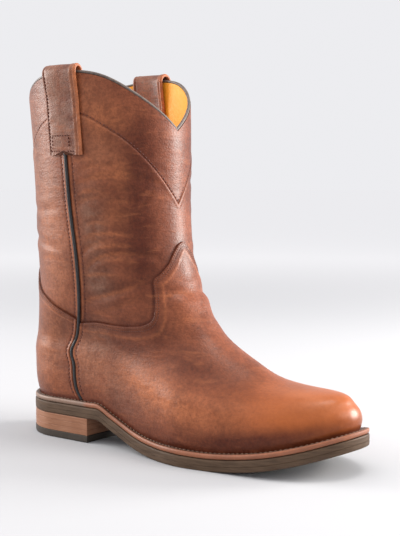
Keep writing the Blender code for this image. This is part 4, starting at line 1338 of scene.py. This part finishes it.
class BOOT_OT_stitching(bpy.types.Operator):
    """Sew the rows of stitches on the leather, the straps and the welt"""
    bl_idname = "boot.stitching"
    bl_label = "Stitching"

    def execute(self, context):
        sizes, look = context.scene.boot_sizes, context.scene.boot_colours
        thread = plain_material("thread", tuple(look.thread), (0.120, 0.028, 0.015), 0.55, 900.0)
        fine = plain_material("edge thread", (0.120, 0.036, 0.020), (0.075, 0.020, 0.011), 0.55, 900.0)
        pale = plain_material("welt thread", (0.200, 0.105, 0.062), (0.110, 0.052, 0.030), 0.55, 900.0)
        pitch, foot = sizes.stitch * 1.45, FOOT_LIFT + sizes.overlay
        lines = []
        for inset in EDGE_STITCHES:
            for _, turn, rise in (vamp_edge(), counter_edge()):
                turn, rise = shifted_line(turn + 1.0, rise, -inset)
                lines.append(along_line(turn[6:-6], rise[6:-6], foot, 0.0019))
        finish_piece(add_stitches("edge_stitches", lines, 0.0014, sizes.thread * 0.75), fine, "vamp_leather")
        lines = []
        for seam in SEAM_TURNS:
            for side in (-1, 1):
                edge = VAMP_LINE["rise"][0] if (seam < 0.5) == (side > 0) else COUNTER_LINE["rise"][-1]
                for low, high, lift in ((0.02, edge - EDGE_CLEAR, foot), (edge + EDGE_CLEAR, 0.74, 0.0)):
                    rise = np.linspace(low, high, 120)
                    turn = seam + side * STITCH_ROW / stretch(seam, rise, side * 0.01)
                    lines.append(along_line(turn, rise, lift - 0.0001, pitch))
        piece = add_stitches("side_stitches", lines, sizes.stitch, sizes.thread)
        finish_piece(piece, thread, "shaft_leather")
        lines = [strap_line(corners, seam, side, sizes, pitch * 0.85)
                 for seam, side in zip(SEAM_TURNS, (1, -1)) for corners in STRAP_SEWING]
        piece = add_stitches("strap_stitches", lines, sizes.stitch * 0.85, sizes.thread * 0.9)
        finish_piece(piece, thread, "strap_leather")
        plan = sole_plan(np.arange(1201) / 1200, 0.0030)
        rim = on_sole(plan, OUTSOLE_THICKNESS + WELT_THICKNESS)
        here, direction, _ = walk(rim, 0.0, 0.002, WELT_PITCH, (0.0, 0.0005))
        upright = np.tile([0.0, 0.0, 1.0], (len(here), 1))
        piece = add_stitches("welt_stitches", [(here, direction, upright)], 0.0027, 0.00048)
        finish_piece(piece, pale, "welt")
        turn = np.linspace(0.0, 1.0, 361)
        turn, rise = shifted_line(turn, curve(YOKE, "way", "rise", fold_way(turn)), 0.0013)
        lines = [along_line(turn[2:-2], rise[2:-2], -0.0005, pitch)]
        piece = add_stitches("yoke_stitches", lines, sizes.stitch, sizes.thread)
        finish_piece(piece, thread, "shaft_leather")
        return {"FINISHED"}


# Camera: where it stands, what it looks at and its lens
CAMERA_PLACE = (0.634, -0.666, 0.198)
CAMERA_AIM = (0.1250, 0.0000, 0.1376)
LENS = 75.5

# Lights: place, aim, width in metres (an angle for the sun) and power
LIGHTS = {
    "top": ((-0.4, -0.35, 1.0), (0.0, 0.0, 0.0), 1.2, 0.9),
    "rim": ((0.95, 1.00, 0.40), (0.05, 0.0, 0.12), 0.60, 30.0),
    "left": ((-1.25, -0.45, 0.55), (0.0, 0.0, 0.15), 0.80, 20.0),
    "over": ((0.45, 0.15, 1.15), (0.15, 0.0, 0.05), 0.45, 5.0),
    "front": ((1.00, 0.30, 0.62), (0.22, 0.0, 0.05), 0.50, 3.2),
}
LIGHT_COLOUR = (1.0, 0.95, 0.90)
WORLD_COLOUR = (0.845, 0.845, 0.870, 1.0)
# The floor's colour is painted darker near the boot, as shade against the lamps' stronger light there, and
# lighter far off
FLOOR_NEAR = (0.445, 0.455, 0.475)
FLOOR_FAR = (0.765, 0.770, 0.785)
FLOOR_REACH = (0.75, 2.4)
FLOOR_SIDE = 60


def stand(scene, name, data, place, aim):
    """Put a light or a camera at its place, turned to its aim."""
    made = bpy.data.objects.new(name, data)
    made.location = place
    made.rotation_euler = (Vector(aim) - Vector(place)).to_track_quat("-Z", "Y").to_euler()
    scene.collection.objects.link(made)
    return made


class BOOT_OT_stage(bpy.types.Operator):
    """Set the floor, the lights, the world and the camera"""
    bl_idname = "boot.stage"
    bl_label = "Studio"

    def execute(self, context):
        scene = context.scene
        scene.view_settings.view_transform = "Standard"
        scene.view_settings.look = "None"
        corners = np.array([(-1, -1, 0), (1, -1, 0), (1, 1, 0), (-1, 1, 0)]) * FLOOR_SIDE
        floor = add_mesh("floor", corners, [[0, 1, 2, 3]])
        material, tree, shader = start_material("studio floor")
        away = node(tree, "ShaderNodeVectorMath", Vector=object_coordinates(tree))
        away.operation = "LENGTH"
        colour = blend(tree, ramp(tree, away.outputs["Value"], *FLOOR_REACH), FLOOR_NEAR, FLOOR_FAR)
        tree.links.new(colour, shader.inputs["Base Color"])
        shader.inputs["Roughness"].default_value = 0.9
        shader.inputs["Specular IOR Level"].default_value = 0.0
        floor.data.materials.append(material)
        world = bpy.data.worlds.new("studio")
        world.use_nodes = True
        background = world.node_tree.nodes["Background"]
        background.inputs[0].default_value = WORLD_COLOUR
        background.inputs[1].default_value = 1.0
        scene.world = world
        for name, (place, aim, extent, power) in LIGHTS.items():
            light = bpy.data.lights.new(name, "SUN" if name == "top" else "AREA")
            if light.type == "SUN":
                light.angle = extent
            else:
                light.shape = "DISK"
                light.size = extent
            light.energy = power
            light.color = LIGHT_COLOUR
            stand(scene, name, light, place, aim)
        lens = bpy.data.cameras.new("camera")
        lens.lens = LENS
        scene.camera = stand(scene, "camera", lens, CAMERA_PLACE, CAMERA_AIM)
        return {"FINISHED"}


class BOOT_PT_panel(bpy.types.Panel):
    """Lists the boot's steps and settings"""
    bl_idname = "BOOT_PT_panel"
    bl_label = "Roper boot"
    bl_space_type = "VIEW_3D"
    bl_region_type = "UI"
    bl_category = "Boot"

    def draw(self, context):
        for operator in OPERATORS:
            self.layout.operator(operator.bl_idname)
        for group in (context.scene.boot_sizes, context.scene.boot_colours):
            for name in group.__annotations__:
                self.layout.prop(group, name)


OPERATORS = (BOOT_OT_foot, BOOT_OT_shaft, BOOT_OT_trim, BOOT_OT_sole, BOOT_OT_stitching, BOOT_OT_stage)
CLASSES = (BootColours, BootSizes, *OPERATORS, BOOT_PT_panel)


def register():
    """Register the classes and hang the settings on the scene."""
    for made in CLASSES:
        bpy.utils.register_class(made)
    bpy.types.Scene.boot_colours = PointerProperty(type=BootColours)
    bpy.types.Scene.boot_sizes = PointerProperty(type=BootSizes)


def unregister():
    """Undo register."""
    del bpy.types.Scene.boot_sizes
    del bpy.types.Scene.boot_colours
    for made in reversed(CLASSES):
        bpy.utils.unregister_class(made)


def main():
    """Register the steps, then build the boot and its studio."""
    register()
    bpy.ops.boot.foot()
    bpy.ops.boot.shaft()
    bpy.ops.boot.trim()
    bpy.ops.boot.sole()
    bpy.ops.boot.stitching()
    bpy.ops.boot.stage()


if __name__ == "__main__":
    main()
